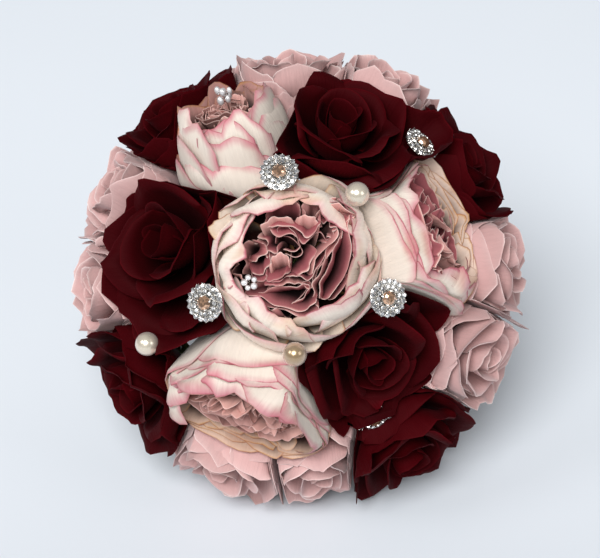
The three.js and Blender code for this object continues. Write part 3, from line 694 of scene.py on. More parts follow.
def ruffle(bloom, number, echo):
    """One ruffle of a peony's heart, or the second one that stands behind it."""
    degrees, hand, spread, shift, lift = HEARTS[bloom.name]
    rim, foot, top, ripple, *pale = RUFFLES[number]
    dice = np.random.default_rng([int(bloom.azimuth), 90 + echo, number])
    columns, rows = 8 * len(rim) + 1, 14
    foot = np.array(foot)
    edge = through(np.array(rim) / 100, columns)
    edge = edge - echo * ECHO_BEHIND * foot / np.linalg.norm(foot)
    length = np.sum(np.linalg.norm(np.diff(edge, axis=0), axis=1)) * bloom.radius
    u, t = np.meshgrid(np.linspace(-1, 1, columns), 1 - (1 - np.linspace(0, 1, rows)) ** 1.3)
    f = 1 - t

    # Seen from above: the rim's line, with its waves across it, and the cloth that leans from it to its foot
    tip = top - ECHO_LOWER * echo - 0.08 * np.abs(u) ** 3 + 0.02 * wave_of(dice, u, 2.5)
    along = np.gradient(edge, axis=0)
    normal = np.stack([-along[:, 1], along[:, 0]], -1) / np.linalg.norm(along, axis=1)[:, None]
    wave = ripple * (wave_of(dice, u, 2.5, 2 * t) + 0.2 * wave_of(dice, u, 7.0, 2 * t)) * t
    plan = edge + normal * wave[..., None] + foot * (1 - t**1.6)[..., None]
    plan = spread * plan * (1 - 0.28 * f * f)[..., None]
    up = tip - (tip - HEART_FOOT) * (0.35 * f + 0.65 * f * f)

    # Stood in the bloom, lower on its outer side
    x, y, turn = plan[..., 0] * bloom.radius, hand * plan[..., 1] * bloom.radius, math.radians(degrees)
    out, aside = x * math.cos(turn) - y * math.sin(turn), x * math.sin(turn) + y * math.cos(turn)
    out = out - shift * bloom.radius
    up = up * (1 - 0.14 * bloom.tip * (1 + 1.3 * out / bloom.radius))
    points = np.stack([out, aside, bloom.tall + lift - (1 - up) * BOWL_DEPTH * bloom.radius], -1)

    across = (u + 1) / 2 * length
    down = f * (tip - HEART_FOOT) * BOWL_DEPTH * bloom.radius
    gap = np.minimum(down, np.minimum(across, length - across) + 0.5)
    points = press(bloom.place(points), bloom, HEART_MARGIN)
    tone = pale[0] if pale else dice.uniform()
    return sheet_of(points, u, t, tone, t * 0.6, gap, (across, -down, number))


def ruffles_of(bloom):
    """The ruffles of a peony's heart as middle surfaces in the posy's frame."""
    sheets = []
    for number, (rim, _, _, _, *pale) in enumerate(RUFFLES):
        is_long = len(rim) > 4 and not pale
        sheets += [ruffle(bloom, number, echo) for echo in range(2 if is_long else 1)]
    return sheets


def leaf_sheets(bloom):
    """The sepals that lie back under a bloom, and the leaves that look out under an outer one."""
    sheets = []
    dice = np.random.default_rng(int(bloom.azimuth) + 500)
    wanted = [(72 * n + bloom.turn, *SEPAL) for n in range(5)]
    if bloom.reach > OUTER_REACH:
        length, *rest = LEAF
        wanted += [(side * dice.uniform(48, 75), length + 5 * dice.uniform(), *rest) for side in (-1, 1)]
    for n, (degrees, length, half, height, bow) in enumerate(wanted):
        u, t = np.meshgrid(np.linspace(-1, 1, 9), np.linspace(0, 1, 17))
        width = half * np.sin(np.pi * np.clip(t, 0.04, 1) ** 0.8) ** 0.8 * (1 + 0.07 * np.sin(t * 60))
        width = np.maximum(width, 0.15)
        up = height + length * (bow * t * t - 0.05 * np.abs(u)) + 0.8 * np.sin(5 * t + n)
        points = turned_about(2.0 + length * t, u * width, up, math.radians(degrees))
        points = press(bloom.place(points), bloom, LEAF_MARGIN)
        rim = (1 - np.abs(u)) * width
        cloth = (u * width, t * length, n)
        sheets.append(sheet_of(points, u, t, dice.uniform(), t * 0.2, rim, cloth))
    return sheets


def to_frame(points):
    """Points of the posy's frame, in millimetres, as points of the model's, in metres."""
    points = points.reshape(-1, 3) @ TURN_ROWS.T * MM + BASE_POINT
    points[:, 2] = np.maximum(points[:, 2], FLOOR_GAP)
    return points


def ring_slots(number):
    """The places of a ring of stems in the handle."""
    slots = []
    for side in range(6):
        start, end = math.radians(60 * side), math.radians(60 * (side + 1))
        for n in range(number):
            f = n / number
            x = (1 - f) * math.cos(start) + f * math.cos(end)
            y = (1 - f) * math.sin(start) + f * math.sin(end)
            slots.append((number * STEM_PITCH * x, number * STEM_PITCH * y))
    return slots


def slot_angle(slot):
    """A slot's azimuth in degrees."""
    return math.degrees(math.atan2(slot[1], slot[0])) % 360


def give_slots(group, slots):
    """Pairs blooms with slots in the order of their azimuths, so that no stem crosses another."""
    group = sorted(group, key=lambda bloom: bloom.azimuth)
    slots = sorted(slots, key=slot_angle)

    def cost(shift):
        """How far a shift of the slots leaves the blooms from theirs, in squared degrees."""
        total = 0.0
        for n, bloom in enumerate(group):
            apart = bloom.azimuth - slot_angle(slots[(n + shift) % len(slots)])
            total += abs((apart + 900) % 360 - 180) ** 2
        return total

    best = min(range(len(slots)), key=cost)
    for n, bloom in enumerate(group):
        bloom.slot = slots[(n + best) % len(slots)]


find_walls()
give_slots(POSY_BLOOMS[1:7], ring_slots(1))
give_slots(POSY_BLOOMS[7:], ring_slots(2))


def route_to_handle(start, leaving, slot, leave, arrive, steps=26):
    """A smooth line from a start to the top of the handle, and straight down through it."""
    top = np.array([slot[0], slot[1], BINDING_TOP])
    span = np.linalg.norm(top - start)
    first = start + leaving * leave * span
    second = top + np.array([0.0, 0.0, arrive * span])
    curve = cubic((start, first, second, top), np.linspace(0, 1, steps)[:, None])
    straight = np.array([[slot[0], slot[1], z] for z in np.linspace(BINDING_TOP - 6, STEM_END, 12)])
    return np.concatenate([curve, straight])


def line_mesh(name, lines):
    """A mesh of open lines, each with its girth, for the stem tree."""
    corners, edges, girths, count = [], [], [], 0
    for points, girth in lines:
        corners.append(to_frame(points))
        girths.append(np.asarray(girth, dtype=float) * MM)
        edges.extend((count + n, count + n + 1) for n in range(len(points) - 1))
        count += len(points)
    mesh = bpy.data.meshes.new(name)
    mesh.from_pydata(np.concatenate(corners).tolist(), edges, [])
    mesh.attributes.new("girth", "FLOAT", "POINT").data.foreach_set("value", np.concatenate(girths))
    return mesh


def point_mesh(name, points, sizes):
    """A mesh of single points in the posy's frame, each with a size."""
    mesh = bpy.data.meshes.new(name)
    mesh.from_pydata(to_frame(points).tolist(), [], [])
    mesh.attributes.new("size", "FLOAT", "POINT").data.foreach_set("value", sizes)
    return mesh


def wire_line(pin):
    """The route of a pin's wire, from under its head down into its gap between the stems."""
    middle, axis, _, _ = spot(*pin[:4])
    ring_number, well_azimuth = pin[4]
    out = ring_number * STEM_PITCH / math.sqrt(3)
    well = (out * math.cos(math.radians(well_azimuth)), out * math.sin(math.radians(well_azimuth)))
    straight = middle - axis * np.linspace(1, WIRE_STRAIGHT, 8)[:, None]
    route = route_to_handle(straight[-1], -axis, well, 0.3, 0.5)
    return np.concatenate([straight[:-1], route])


def wire_mesh(pin, radius):
    """A pin's wire as a line for the stem tree, or for a brooch's setting."""
    line = wire_line(pin)
    return line_mesh("wire", [(line, [radius / MM] * len(line))])


def turn_of(middle, axis, across, side):
    """The place and the angles that set a part made round +Z at a spot over the dome."""
    rows = TURN_ROWS @ np.stack([across, side, axis], axis=1)
    return tuple(to_frame(middle[None])[0]), tuple(Matrix(rows.tolist()).to_euler())


def sheet_mesh(name, sheets):
    """One mesh of open sheets of quads, with the attributes that the cloth tree and the finishes read."""
    corners, loops, count = [], [], 0
    attributes = {"place": [], "cloth": [], "free": [], "rim": [], "inner": []}
    for sheet in sheets:
        rows, columns = sheet["points"].shape[:2]
        index = count + np.arange(rows * columns).reshape(rows, columns)
        quads = np.stack([index[:-1, :-1], index[:-1, 1:], index[1:, 1:], index[1:, :-1]], -1)
        corners.append(to_frame(sheet["points"]))
        loops.append(quads.reshape(-1, 4))
        for key, values in attributes.items():
            values.append(sheet[key].reshape(rows * columns, -1))
        count += rows * columns
    joined = {key: np.concatenate(values) for key, values in attributes.items()}
    return quad_mesh(name, np.concatenate(corners), np.concatenate(loops), joined)


def quad_mesh(name, corners, quads, attributes):
    """A mesh from arrays of corners and quads."""
    mesh = bpy.data.meshes.new(name)
    mesh.vertices.add(len(corners))
    mesh.vertices.foreach_set("co", corners.astype(np.float32).ravel())
    mesh.loops.add(quads.size)
    mesh.loops.foreach_set("vertex_index", quads.astype(np.int32).ravel())
    mesh.polygons.add(len(quads))
    mesh.polygons.foreach_set("loop_start", (4 * np.arange(len(quads))).astype(np.int32))
    mesh.update(calc_edges=True)
    for key, values in attributes.items():
        kind, member = ("FLOAT_VECTOR", "vector") if values.shape[1] == 3 else ("FLOAT", "value")
        attribute = mesh.attributes.new("petal_" + key, kind, "POINT")
        attribute.data.foreach_set(member, values.astype(np.float32).ravel())
    return mesh


class Nodes:
    """The nodes of one tree, and short ways to add them."""

    def put(self, socket, value):
        """Links an output to an input, or sets the input's value. A colour may come as three numbers."""
        if isinstance(value, bpy.types.NodeSocket):
            self.tree.links.new(value, socket)
        elif isinstance(value, tuple) and len(value) == 3 and len(socket.default_value) == 4:
            socket.default_value = (*value, 1.0)
        elif value is not None:
            socket.default_value = value

    def add(self, kind, inputs=None, out=0, **settings):
        """Adds a node, fills its inputs by name or number, and gives one of its outputs."""
        node = self.tree.nodes.new(kind)
        for key, value in settings.items():
            setattr(node, key, value)
        for key, value in (inputs or {}).items():
            self.put(node.inputs[key], value)
        return node.outputs[out]

    def number(self, operation, *values):
        """One step of arithmetic."""
        return self.add("ShaderNodeMath", dict(enumerate(values)), operation=operation)

    def plus(self, first, second):
        """The sum of two numbers."""
        return self.number("ADD", first, second)

    def times(self, first, second):
        """The product of two numbers."""
        return self.number("MULTIPLY", first, second)

    def swing(self, value, amount):
        """A number from 0 to 1 made one that swings about 0 by an amount."""
        return self.times(self.number("SUBTRACT", value, 0.5), amount)


class Tree(Nodes):
    """A geometry node tree with named inputs."""

    def __init__(self, name, inputs):
        self.tree = bpy.data.node_groups.new(name, "GeometryNodeTree")
        self.tree.interface.new_socket("Geometry", in_out="INPUT", socket_type="NodeSocketGeometry")
        self.sockets = {}
        for label, kind, value in inputs:
            socket = self.tree.interface.new_socket(label, in_out="INPUT", socket_type="NodeSocket" + kind)
            if value is not None:
                socket.default_value = value
            self.sockets[label] = socket.identifier
        self.tree.interface.new_socket("Geometry", in_out="OUTPUT", socket_type="NodeSocketGeometry")
        self.given = self.tree.nodes.new("NodeGroupInput").outputs
        self.end = self.tree.nodes.new("NodeGroupOutput").inputs[0]

    def vector(self, operation, first, second):
        """One step of vector arithmetic."""
        second_key = "Scale" if operation == "SCALE" else 1
        return self.add("ShaderNodeVectorMath", {0: first, second_key: second}, operation=operation)

    def named(self, name):
        """A number that the mesh has at each of its points."""
        return self.add("GeometryNodeInputNamedAttribute", {"Name": name}, data_type="FLOAT")

    def join(self, *parts):
        """Parts put together in their order."""
        node = self.tree.nodes.new("GeometryNodeJoinGeometry")
        for part in reversed(parts):
            self.tree.links.new(part, node.inputs[0])
        return node.outputs[0]

    def raised(self, geometry, height):
        """A geometry moved up."""
        place = self.add("ShaderNodeCombineXYZ", {2: height})
        return self.add("GeometryNodeTransform", {"Geometry": geometry, "Translation": place})

    def lifted(self, geometry, height):
        """A geometry with each point moved along its normal."""
        offset = self.vector("SCALE", self.add("GeometryNodeInputNormal"), height)
        return self.add("GeometryNodeSetPosition", {"Geometry": geometry, "Offset": offset})

    def creased(self, geometry, degrees):
        """A geometry shaded sharp along the edges where it turns by more than an angle."""
        sharp = self.number("GREATER_THAN", self.add("GeometryNodeInputMeshEdgeAngle"), math.radians(degrees))
        inputs = {"Geometry": geometry, "Selection": sharp, "Shade Smooth": False}
        return self.add("GeometryNodeSetShadeSmooth", inputs, domain="EDGE")

    def cone(self, sides, low, high, depth, fill="TRIANGLE_FAN"):
        """A cone that stands on zero, with the radii of its foot and its top."""
        inputs = {"Vertices": sides, "Radius Top": high, "Radius Bottom": low, "Depth": depth}
        return self.add("GeometryNodeMeshCone", inputs, fill_type=fill)

    def swept(self):
        """Round rods along the lines of the source, as thick as their girth."""
        curve = self.add("GeometryNodeMeshToCurve", {"Mesh": self.given["Geometry"]})
        section = {"Resolution": self.given["Sides"], "Radius": 1.0}
        section = self.add("GeometryNodeCurvePrimitiveCircle", section)
        inputs = {"Curve": curve, "Profile Curve": section, "Scale": self.named("girth"), "Fill Caps": True}
        return self.add("GeometryNodeCurveToMesh", inputs)

    def given_turn(self):
        """The tree's given angles as a rotation."""
        return self.add("FunctionNodeEulerToRotation", {0: self.given["Angles"]})

    def set_at(self, geometry):
        """A part made round +Z, set at the tree's given place and angles."""
        inputs = {"Geometry": geometry, "Translation": self.given["Place"], "Rotation": self.given_turn()}
        return self.add("GeometryNodeTransform", inputs)

    def finish(self, geometry):
        """Ends the tree: instances made real, and the given material set."""
        real = self.add("GeometryNodeRealizeInstances", {"Geometry": geometry})
        inputs = {"Geometry": real, "Material": self.given["Material"]}
        self.put(self.end, self.add("GeometryNodeSetMaterial", inputs))


def grown(name, tree, values, source=None):
    """An object whose mesh is what a tree makes of its source, with the modifier already taken off."""
    source = source or bpy.data.meshes.new(name)
    piece = bpy.data.objects.new(name, source)
    bpy.context.scene.collection.objects.link(piece)
    modifier = piece.modifiers.new("Tree", "NODES")
    modifier.node_group = tree.tree
    for label, value in values.items():
        modifier[tree.sockets[label]] = value
    graph = bpy.context.evaluated_depsgraph_get()
    graph.update()
    result = piece.evaluated_get(graph)
    mesh = bpy.data.meshes.new_from_object(result, preserve_all_data_layers=True, depsgraph=graph)
    piece.modifiers.remove(modifier)
    piece.data = mesh
    mesh.name = name
    if source.users == 0:
        bpy.data.meshes.remove(source)
    if not mesh.polygons:
        raise RuntimeError("nothing was made for " + name)
    return piece


def declared(piece, slot, *nodes):
    """Rides a finished piece on the body, and hides the solids that it stands for."""
    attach(piece, "root")
    if nodes:
        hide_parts(*nodes)
    return piece


def cloth_tree():
    """Gives open sheets their thickness and their small ruffles. Both faces meet at the rim."""
    inputs = [
        ("Thickness", "Float", 0.0004),
        ("Ruffle height", "Float", 0.001),
        ("Ruffle size", "Float", 0.012),
        ("Seed", "Float", 1.0),
        ("Material", "Material", None),
    ]
    tree = Tree("Petal cloth", inputs)
    noise = {
        "Vector": tree.add("GeometryNodeInputPosition"),
        "W": tree.given["Seed"],
        "Scale": tree.number("DIVIDE", 1.0, tree.given["Ruffle size"]),
        "Detail": 1.0,
    }
    noise = tree.add("ShaderNodeTexNoise", noise, noise_dimensions="4D")
    height = tree.swing(noise, tree.given["Ruffle height"])
    ruffled = tree.lifted(tree.given["Geometry"], tree.times(height, tree.named("petal_free")))
    faces = []
    for side in (1.0, -1.0):
        lift = tree.times(tree.given["Thickness"], 0.5 * side)
        face = tree.lifted(ruffled, tree.times(lift, tree.named("petal_inner")))
        inputs = {"Geometry": face, "Name": "petal_side", "Value": side}
        face = tree.add("GeometryNodeStoreNamedAttribute", inputs)
        if side < 0:
            face = tree.add("GeometryNodeFlipFaces", {"Mesh": face})
        faces.append(face)
    both = tree.add("GeometryNodeMergeByDistance", {"Geometry": tree.join(*faces), "Distance": 2e-6})
    tree.finish(tree.creased(both, 70))
    return tree


def stem_tree():
    """Sweeps a round section along lines, as thick as their girth."""
    tree = Tree("Stem", [("Sides", "Int", 12), ("Material", "Material", None)])
    tree.finish(tree.creased(tree.swept(), 50))
    return tree


def stone_cut(tree, radius, sides, table=0.55):
    """A faceted stone round +Z with its girdle at zero: a crown in two tiers and a pointed foot."""
    shallow, steep, foot = tree.times(radius, 0.3), tree.times(radius, 0.2), tree.times(radius, 0.6)
    middle, top = tree.times(radius, 0.78), tree.times(radius, table)
    table_top = tree.add("GeometryNodeMeshCircle", {"Vertices": sides, "Radius": top}, fill_type="NGON")
    parts = [
        tree.raised(tree.cone(sides, radius, middle, shallow, "NONE"), 0.0),
        tree.raised(tree.cone(sides, middle, top, steep, "NONE"), shallow),
        tree.raised(tree.cone(sides, 0.0, radius, foot, "NONE"), tree.times(foot, -1.0)),
        tree.raised(table_top, tree.plus(shallow, steep)),
    ]
    merged = tree.add("GeometryNodeMergeByDistance", {"Geometry": tree.join(*parts), "Distance": 1e-6})
    return tree.add("GeometryNodeSetShadeSmooth", {"Geometry": merged, "Shade Smooth": False}, domain="FACE")


def around(tree, count, radius, height, part, lean, jitter):
    """Copies of a part round a circle, each leaning out and turned a little by chance."""
    circle = tree.raised(tree.add("GeometryNodeMeshCircle", {"Vertices": count, "Radius": radius}), height)
    angle = tree.times(tree.add("GeometryNodeInputIndex"), tree.number("DIVIDE", 2 * math.pi, count))
    chance = {0: (-jitter,) * 3, 1: (jitter,) * 3, "Seed": tree.given["Seed"]}
    chance = tree.add("FunctionNodeRandomValue", chance, data_type="FLOAT_VECTOR")
    turn = tree.vector("ADD", tree.add("ShaderNodeCombineXYZ", {1: lean, 2: angle}), chance)
    turn = tree.add("FunctionNodeEulerToRotation", {0: turn})
    return tree.add("GeometryNodeInstanceOnPoints", {"Points": circle, "Instance": part, "Rotation": turn})


# What a user may set on each of the three brooch trees
BROOCH_INPUTS = [
    ("Place", "Vector", None),
    ("Angles", "Vector", None),
    ("Radius", "Float", 0.0097),
    ("Outer stones", "Int", 18),
    ("Inner stones", "Int", 13),
    ("Seed", "Int", 1),
    ("Material", "Material", None),
]
# The rings of a brooch, in parts of its radius: how wide the ring is and how big its stones are
OUTER_RING, OUTER_STONE = 0.84, 0.138
INNER_RING, INNER_STONE = 0.56, 0.118
CENTRE_STONE = 0.37
CENTRE_HEIGHT = 0.0014
# The two tiers of its dish: the radii of the foot and the top, the depth, and how high the tier stands
DISH = ((0.72, 0.93, 0.0012, -0.0022), (0.93, 0.8, 0.0007, -0.001))


def brooch_rings(tree, outer, inner, jitter):
    """A brooch's two rings: copies of the outer part and of the inner one."""
    radius = tree.given["Radius"]
    outer_ring, inner_ring = tree.times(radius, OUTER_RING), tree.times(radius, INNER_RING)
    return (
        around(tree, tree.given["Outer stones"], outer_ring, 0.0003, outer, 0.2, jitter),
        around(tree, tree.given["Inner stones"], inner_ring, 0.001, inner, 0.12, jitter),
    )


def brooch_stones_tree():
    """The clear stones of a brooch in two rings."""
    tree = Tree("Brooch stones", BROOCH_INPUTS)
    outer = stone_cut(tree, tree.times(tree.given["Radius"], OUTER_STONE), 8)
    inner = stone_cut(tree, tree.times(tree.given["Radius"], INNER_STONE), 7)
    tree.finish(tree.set_at(tree.join(*brooch_rings(tree, outer, inner, 0.14))))
    return tree


def brooch_centre_tree():
    """The stone in the middle of a brooch."""
    tree = Tree("Brooch centre", BROOCH_INPUTS)
    stone = stone_cut(tree, tree.times(tree.given["Radius"], CENTRE_STONE), 12, 0.5)
    tree.finish(tree.set_at(tree.raised(stone, CENTRE_HEIGHT)))
    return tree


def claw_and_cup(tree, size):
    """The cup that holds one stone, with four claws over its edge."""
    radius = tree.times(tree.given["Radius"], size)
    cup = tree.cone(10, tree.times(radius, 0.6), tree.times(radius, 1.06), 0.0011)
    claw = {"Radius": tree.times(radius, 0.2), "Subdivisions": 1}
    claw = tree.add("GeometryNodeMeshIcoSphere", claw)
    spots = tree.add("GeometryNodeMeshCircle", {"Vertices": 4, "Radius": tree.times(radius, 0.96)})
    claws = {"Points": spots, "Instance": claw, "Scale": (1.0, 1.0, 1.7)}
    claws = tree.add("GeometryNodeInstanceOnPoints", claws)
    return tree.join(tree.raised(cup, -0.0012), tree.raised(claws, 0.00015))


def brooch_setting_tree():
    """The metal of a brooch: its dish, the cups and claws of its stones, and its wire."""
    tree = Tree("Brooch setting", BROOCH_INPUTS + [("Sides", "Int", 8)])
    radius = tree.given["Radius"]
    dish = []
    for low, high, depth, at in DISH:
        tier = tree.cone(40, tree.times(radius, low), tree.times(radius, high), depth)
        dish.append(tree.raised(tier, at))
    outer, inner = claw_and_cup(tree, OUTER_STONE), claw_and_cup(tree, INNER_STONE)
    centre = tree.raised(claw_and_cup(tree, CENTRE_STONE), CENTRE_HEIGHT)
    metal = tree.join(*dish, *brooch_rings(tree, outer, inner, 0.0), centre)
    tree.finish(tree.join(tree.set_at(metal), tree.swept()))
    return tree


def bead_tree():
    """A bead on each point, scaled by the point's size. Only one of many segments is smooth."""
    inputs = [
        ("Radius", "Float", 0.0061),
        ("Segments", "Int", 40),
        ("Length", "Float", 1.0),
        ("Angles", "Vector", None),
        ("Material", "Material", None),
    ]
    tree = Tree("Beads", inputs)
    segments = tree.given["Segments"]
    rings = tree.number("DIVIDE", segments, 2.0)
    ball = {"Segments": segments, "Rings": rings, "Radius": tree.given["Radius"]}
    ball = tree.add("GeometryNodeMeshUVSphere", ball)
    smooth = {"Geometry": ball, "Shade Smooth": tree.number("GREATER_THAN", segments, 16.0)}
    ball = tree.add("GeometryNodeSetShadeSmooth", smooth, domain="FACE")
    stretch = tree.add("ShaderNodeCombineXYZ", {0: 1.0, 1: 1.0, 2: tree.given["Length"]})
    beads = {
        "Points": tree.given["Geometry"],
        "Instance": ball,
        "Rotation": tree.given_turn(),
        "Scale": tree.vector("SCALE", stretch, tree.named("size")),
    }
    tree.finish(tree.add("GeometryNodeInstanceOnPoints", beads))
    return tree


def ribbon_tree():
    """A flat ribbon wound round the handle from its foot to its top, each turn over the one below."""
    inputs = [
        ("Place", "Vector", None),
        ("Angles", "Vector", None),
        ("Turns", "Float", 6.0),
        ("Radius", "Float", 0.0146),
        ("Length", "Float", 0.064),
        ("Width", "Float", 0.024),
        ("Material", "Material", None),
    ]
    tree = Tree("Ribbon winding", inputs)
    inner = tree.number("SUBTRACT", tree.given["Radius"], 0.0007)
    spiral = {
        "Resolution": 56,
        "Rotations": tree.given["Turns"],
        "Start Radius": inner,
        "End Radius": inner,
        "Height": tree.given["Length"],
    }
    spiral = tree.add("GeometryNodeCurveSpiral", spiral)
    spiral = tree.add("GeometryNodeSetCurveNormal", {"Curve": spiral}, mode="Z_UP")
    section = {"Width": 0.0005, "Height": tree.given["Width"]}
    section = tree.add("GeometryNodeCurvePrimitiveQuadrilateral", section)
    section = tree.add("GeometryNodeResampleCurve", {"Curve": section, "Count": 60})
    band = {"Curve": spiral, "Profile Curve": section, "Fill Caps": True}
    band = tree.raised(tree.add("GeometryNodeCurveToMesh", band), tree.times(tree.given["Length"], -0.5))
    tree.finish(tree.set_at(band))
    return tree


class Finish(Nodes):
    """The nodes of one material."""

    def __init__(self, name):
        self.material = bpy.data.materials.new(name)
        self.material.use_nodes = True
        self.tree = self.material.node_tree
        self.shader = self.tree.nodes["Principled BSDF"]

    def point(self):
        """The point that is shaded, in the piece's own coordinates."""
        return self.add("ShaderNodeTexCoord", out=3)

    def attribute(self, name, out=2):
        """An attribute of the piece: a number, or three of them with an out of 1."""
        return self.add("ShaderNodeAttribute", out=out, attribute_name=name)

    def parts(self, name):
        """The three numbers of an attribute."""
        node = self.tree.nodes.new("ShaderNodeSeparateXYZ")
        self.put(node.inputs[0], self.attribute(name, out=1))
        return node.outputs

    def spread(self, value, low, high, to_low=0.0, to_high=1.0):
        """Maps a value smoothly from one range to another."""
        inputs = {"Value": value, "From Min": low, "From Max": high, "To Min": to_low, "To Max": to_high}
        return self.add("ShaderNodeMapRange", inputs, interpolation_type="SMOOTHSTEP")

    def blend(self, factor, first, second, mode="MIX"):
        """A colour between two others."""
        inputs = {0: factor, 6: first, 7: second}
        return self.add("ShaderNodeMix", inputs, out=2, data_type="RGBA", blend_type=mode)

    def shaded(self, colour, shade):
        """A colour made darker or lighter by a number."""
        grey = self.add("ShaderNodeCombineColor", {0: shade, 1: shade, 2: shade})
        return self.blend(1.0, colour, grey, mode="MULTIPLY")

    def noise(self, vector, scale, detail=2.0, roughness=0.5):
        """A soft random pattern."""
        inputs = {"Vector": vector, "Scale": scale, "Detail": detail, "Roughness": roughness}
        return self.add("ShaderNodeTexNoise", inputs)

    def stretched(self, vector, scale):
        """Coordinates with a scale of their own in each direction."""
        return self.add("ShaderNodeMapping", {"Vector": vector, "Scale": scale})

    def bump(self, height, strength, distance, normal=None):
        """A relief, laid over another one if that is given."""
        inputs = {"Height": height, "Strength": strength, "Distance": distance, "Normal": normal}
        return self.add("ShaderNodeBump", inputs)

    def set(self, **values):
        """Sets the shader's sockets, named with underscores for spaces."""
        for key, value in values.items():
            self.put(self.shader.inputs[key.replace("_", " ")], value)


def scaled(colour, amount):
    """A colour made brighter or darker."""
    return tuple(min(1.0, part * amount) for part in colour)


def petal_finish(
    name,
    outside,
    inside,
    margin,
    root,
    line,
    tint,
    wide,
    blush,
    sheen,
    shine=0.12,
    rough=0.75,
    soft_blush=0.6,
    inner_root_shade=(0.8, 0.1),
    outer_root_shade=(0.8, 0.1),
    inner_margin=None,
    inner_line=None,
    patch=None,
    pale=None,
):
    """Dyed cloth: outside and inside colours, a soft margin, a root darkened by dye and painted shade, veins,
    weave and a fine rim.
    """
    f = Finish(name)
    _, along, tone = f.parts("petal_place")
    rim = f.attribute("petal_rim")
    cloth = f.attribute("petal_cloth", out=1)
    point = f.point()
    patches = f.noise(point, 45.0, 3.0)
    streaks = f.noise(f.stretched(cloth, (0.9, 0.06, 7.3)), 1.0, 3.0, 0.6)
    is_outside = f.spread(f.attribute("petal_side"), -0.3, 0.3)
    colour = f.blend(is_outside, inside, outside)
    if pale is not None:
        colour = f.blend(f.spread(tone, 0.5, 1.0, 0.0, 0.75), colour, pale)
    if patch is not None:
        near_rim = f.spread(rim, 9.0, 1.0, 0.0, 0.45)
        colour = f.blend(f.times(f.spread(f.noise(point, 60.0), 0.48, 0.66), near_rim), colour, patch)

    # The dark root, with an uneven border: partly the cloth's darker dye, mostly painted shade deep between
    # the petals
    low = f.plus(along, f.swing(patches, 0.3))
    low = f.blend(is_outside, f.spread(low, *inner_root_shade), f.spread(low, *outer_root_shade, 0.0, 0.85))
    colour = f.blend(low, colour, root)

    # The margin, which fades in places, and outside a blush that reaches further in
    edge = f.plus(rim, f.swing(streaks, wide * 0.5))
    edge = f.plus(edge, f.swing(patches, wide * 1.4))
    fading = f.spread(f.noise(point, 70.0, 1.0), 0.35, 0.62, 0.3, 1.0)
    soft = f.times(f.spread(edge, 2.6 * wide, 0.0), f.spread(patches, 0.36, 0.6, 0.35, 0.95))
    soft = f.times(soft, f.times(is_outside, soft_blush))
    edge = f.times(f.number("POWER", f.spread(edge, wide, 0.0), 1.6), fading)
    edge = f.times(f.number("MAXIMUM", edge, soft), blush)
    colour = f.blend(edge, colour, f.blend(is_outside, inner_margin or margin, margin))

    # The fine line along the rim
    thin = f.times(f.spread(rim, 0.9, 0.1, 0.0, 0.8), fading)
    thin = f.times(thin, f.spread(is_outside, 0.0, 1.0, 0.8 if inner_line else 1.0, 1.0))
    colour = f.blend(thin, colour, f.blend(is_outside, inner_line or line, line))

    # Veins and unevenly taken dye, and the weave
    light = f.plus(f.times(streaks, 0.22), f.times(tone, 0.16))
    light = f.plus(light, f.times(patches, 0.16))
    colour = f.shaded(colour, f.spread(light, 0.1, 0.45, 0.86, 1.06))
    threads = {"Vector": cloth, "Scale": 2.2, "Distortion": 0.6, "Detail": 1.0}
    warp = f.add("ShaderNodeTexWave", threads, out=1)
    woof = f.add("ShaderNodeTexWave", threads, out=1, bands_direction="Y")
    normal = f.bump(streaks, 0.35, 0.0012, f.bump(f.plus(warp, woof), 0.12, 0.0002))
    f.set(Base_Color=colour, Roughness=rough, Normal=normal)
    f.set(Sheen_Weight=sheen, Sheen_Roughness=0.45, Sheen_Tint=tint, Specular_IOR_Level=shine)
    return f.material


def metal_finish(name, colour):
    """Plated metal with fine scratches."""
    f = Finish(name)
    at = f.point()
    grain = f.noise(f.stretched(at, (1.0, 1.0, 8.0)), 900.0, 3.0)
    wear = f.noise(at, 120.0, 3.0)
    f.set(Base_Color=f.blend(wear, scaled(colour, 0.86), colour), Metallic=1.0)
    f.set(Roughness=f.spread(grain, 0.2, 0.8, 0.12, 0.3), Normal=f.bump(grain, 0.1, 0.0001))
    return f.material


def stone_finish(name, colour, deep):
    """Cut glass over foil, with painted reflections: small cells painted at random between a dark and a
    bright tone.
    """
    f = Finish(name)
    at = f.point()
    # Painted reflections: each small cell takes a random tone between the dark colour and the bright one, for
    # glints and dark facets
    glint_cells = f.add("ShaderNodeTexVoronoi", {"Vector": at, "Scale": 900.0}, out=1)
    tone = f.add("ShaderNodeSeparateColor", {0: glint_cells})
    f.set(Base_Color=f.blend(f.spread(tone, 0.25, 0.75), deep, colour), Metallic=0.75, Roughness=0.06)
    f.set(Coat_Weight=1.0, Coat_Roughness=0.02, Coat_IOR=1.8)
    return f.material


def pearl_finish(name, colour):
    """A pearl: soft layers under a clear coat, with faint uneven rings and a painted sheen toward its edges.
    """
    f = Finish(name)
    at = f.point()
    cloud = f.noise(at, 260.0, 3.0)
    # Painted sheen: the colour turns a pinkish grey where the surface turns away from the view
    painted_rim_sheen = f.add("ShaderNodeLayerWeight", {"Blend": 0.35}, out=1)
    colour = f.blend(f.times(cloud, 0.5), colour, scaled(colour, 0.86))
    f.set(Base_Color=f.blend(painted_rim_sheen, colour, paint("d8c2b8")), Metallic=0.5)
    f.set(Roughness=f.spread(cloud, 0.3, 0.7, 0.2, 0.3), Normal=f.bump(cloud, 0.08, 0.0003))
    f.set(Coat_Weight=0.8, Coat_Roughness=0.12, Sheen_Weight=0.2)
    return f.material


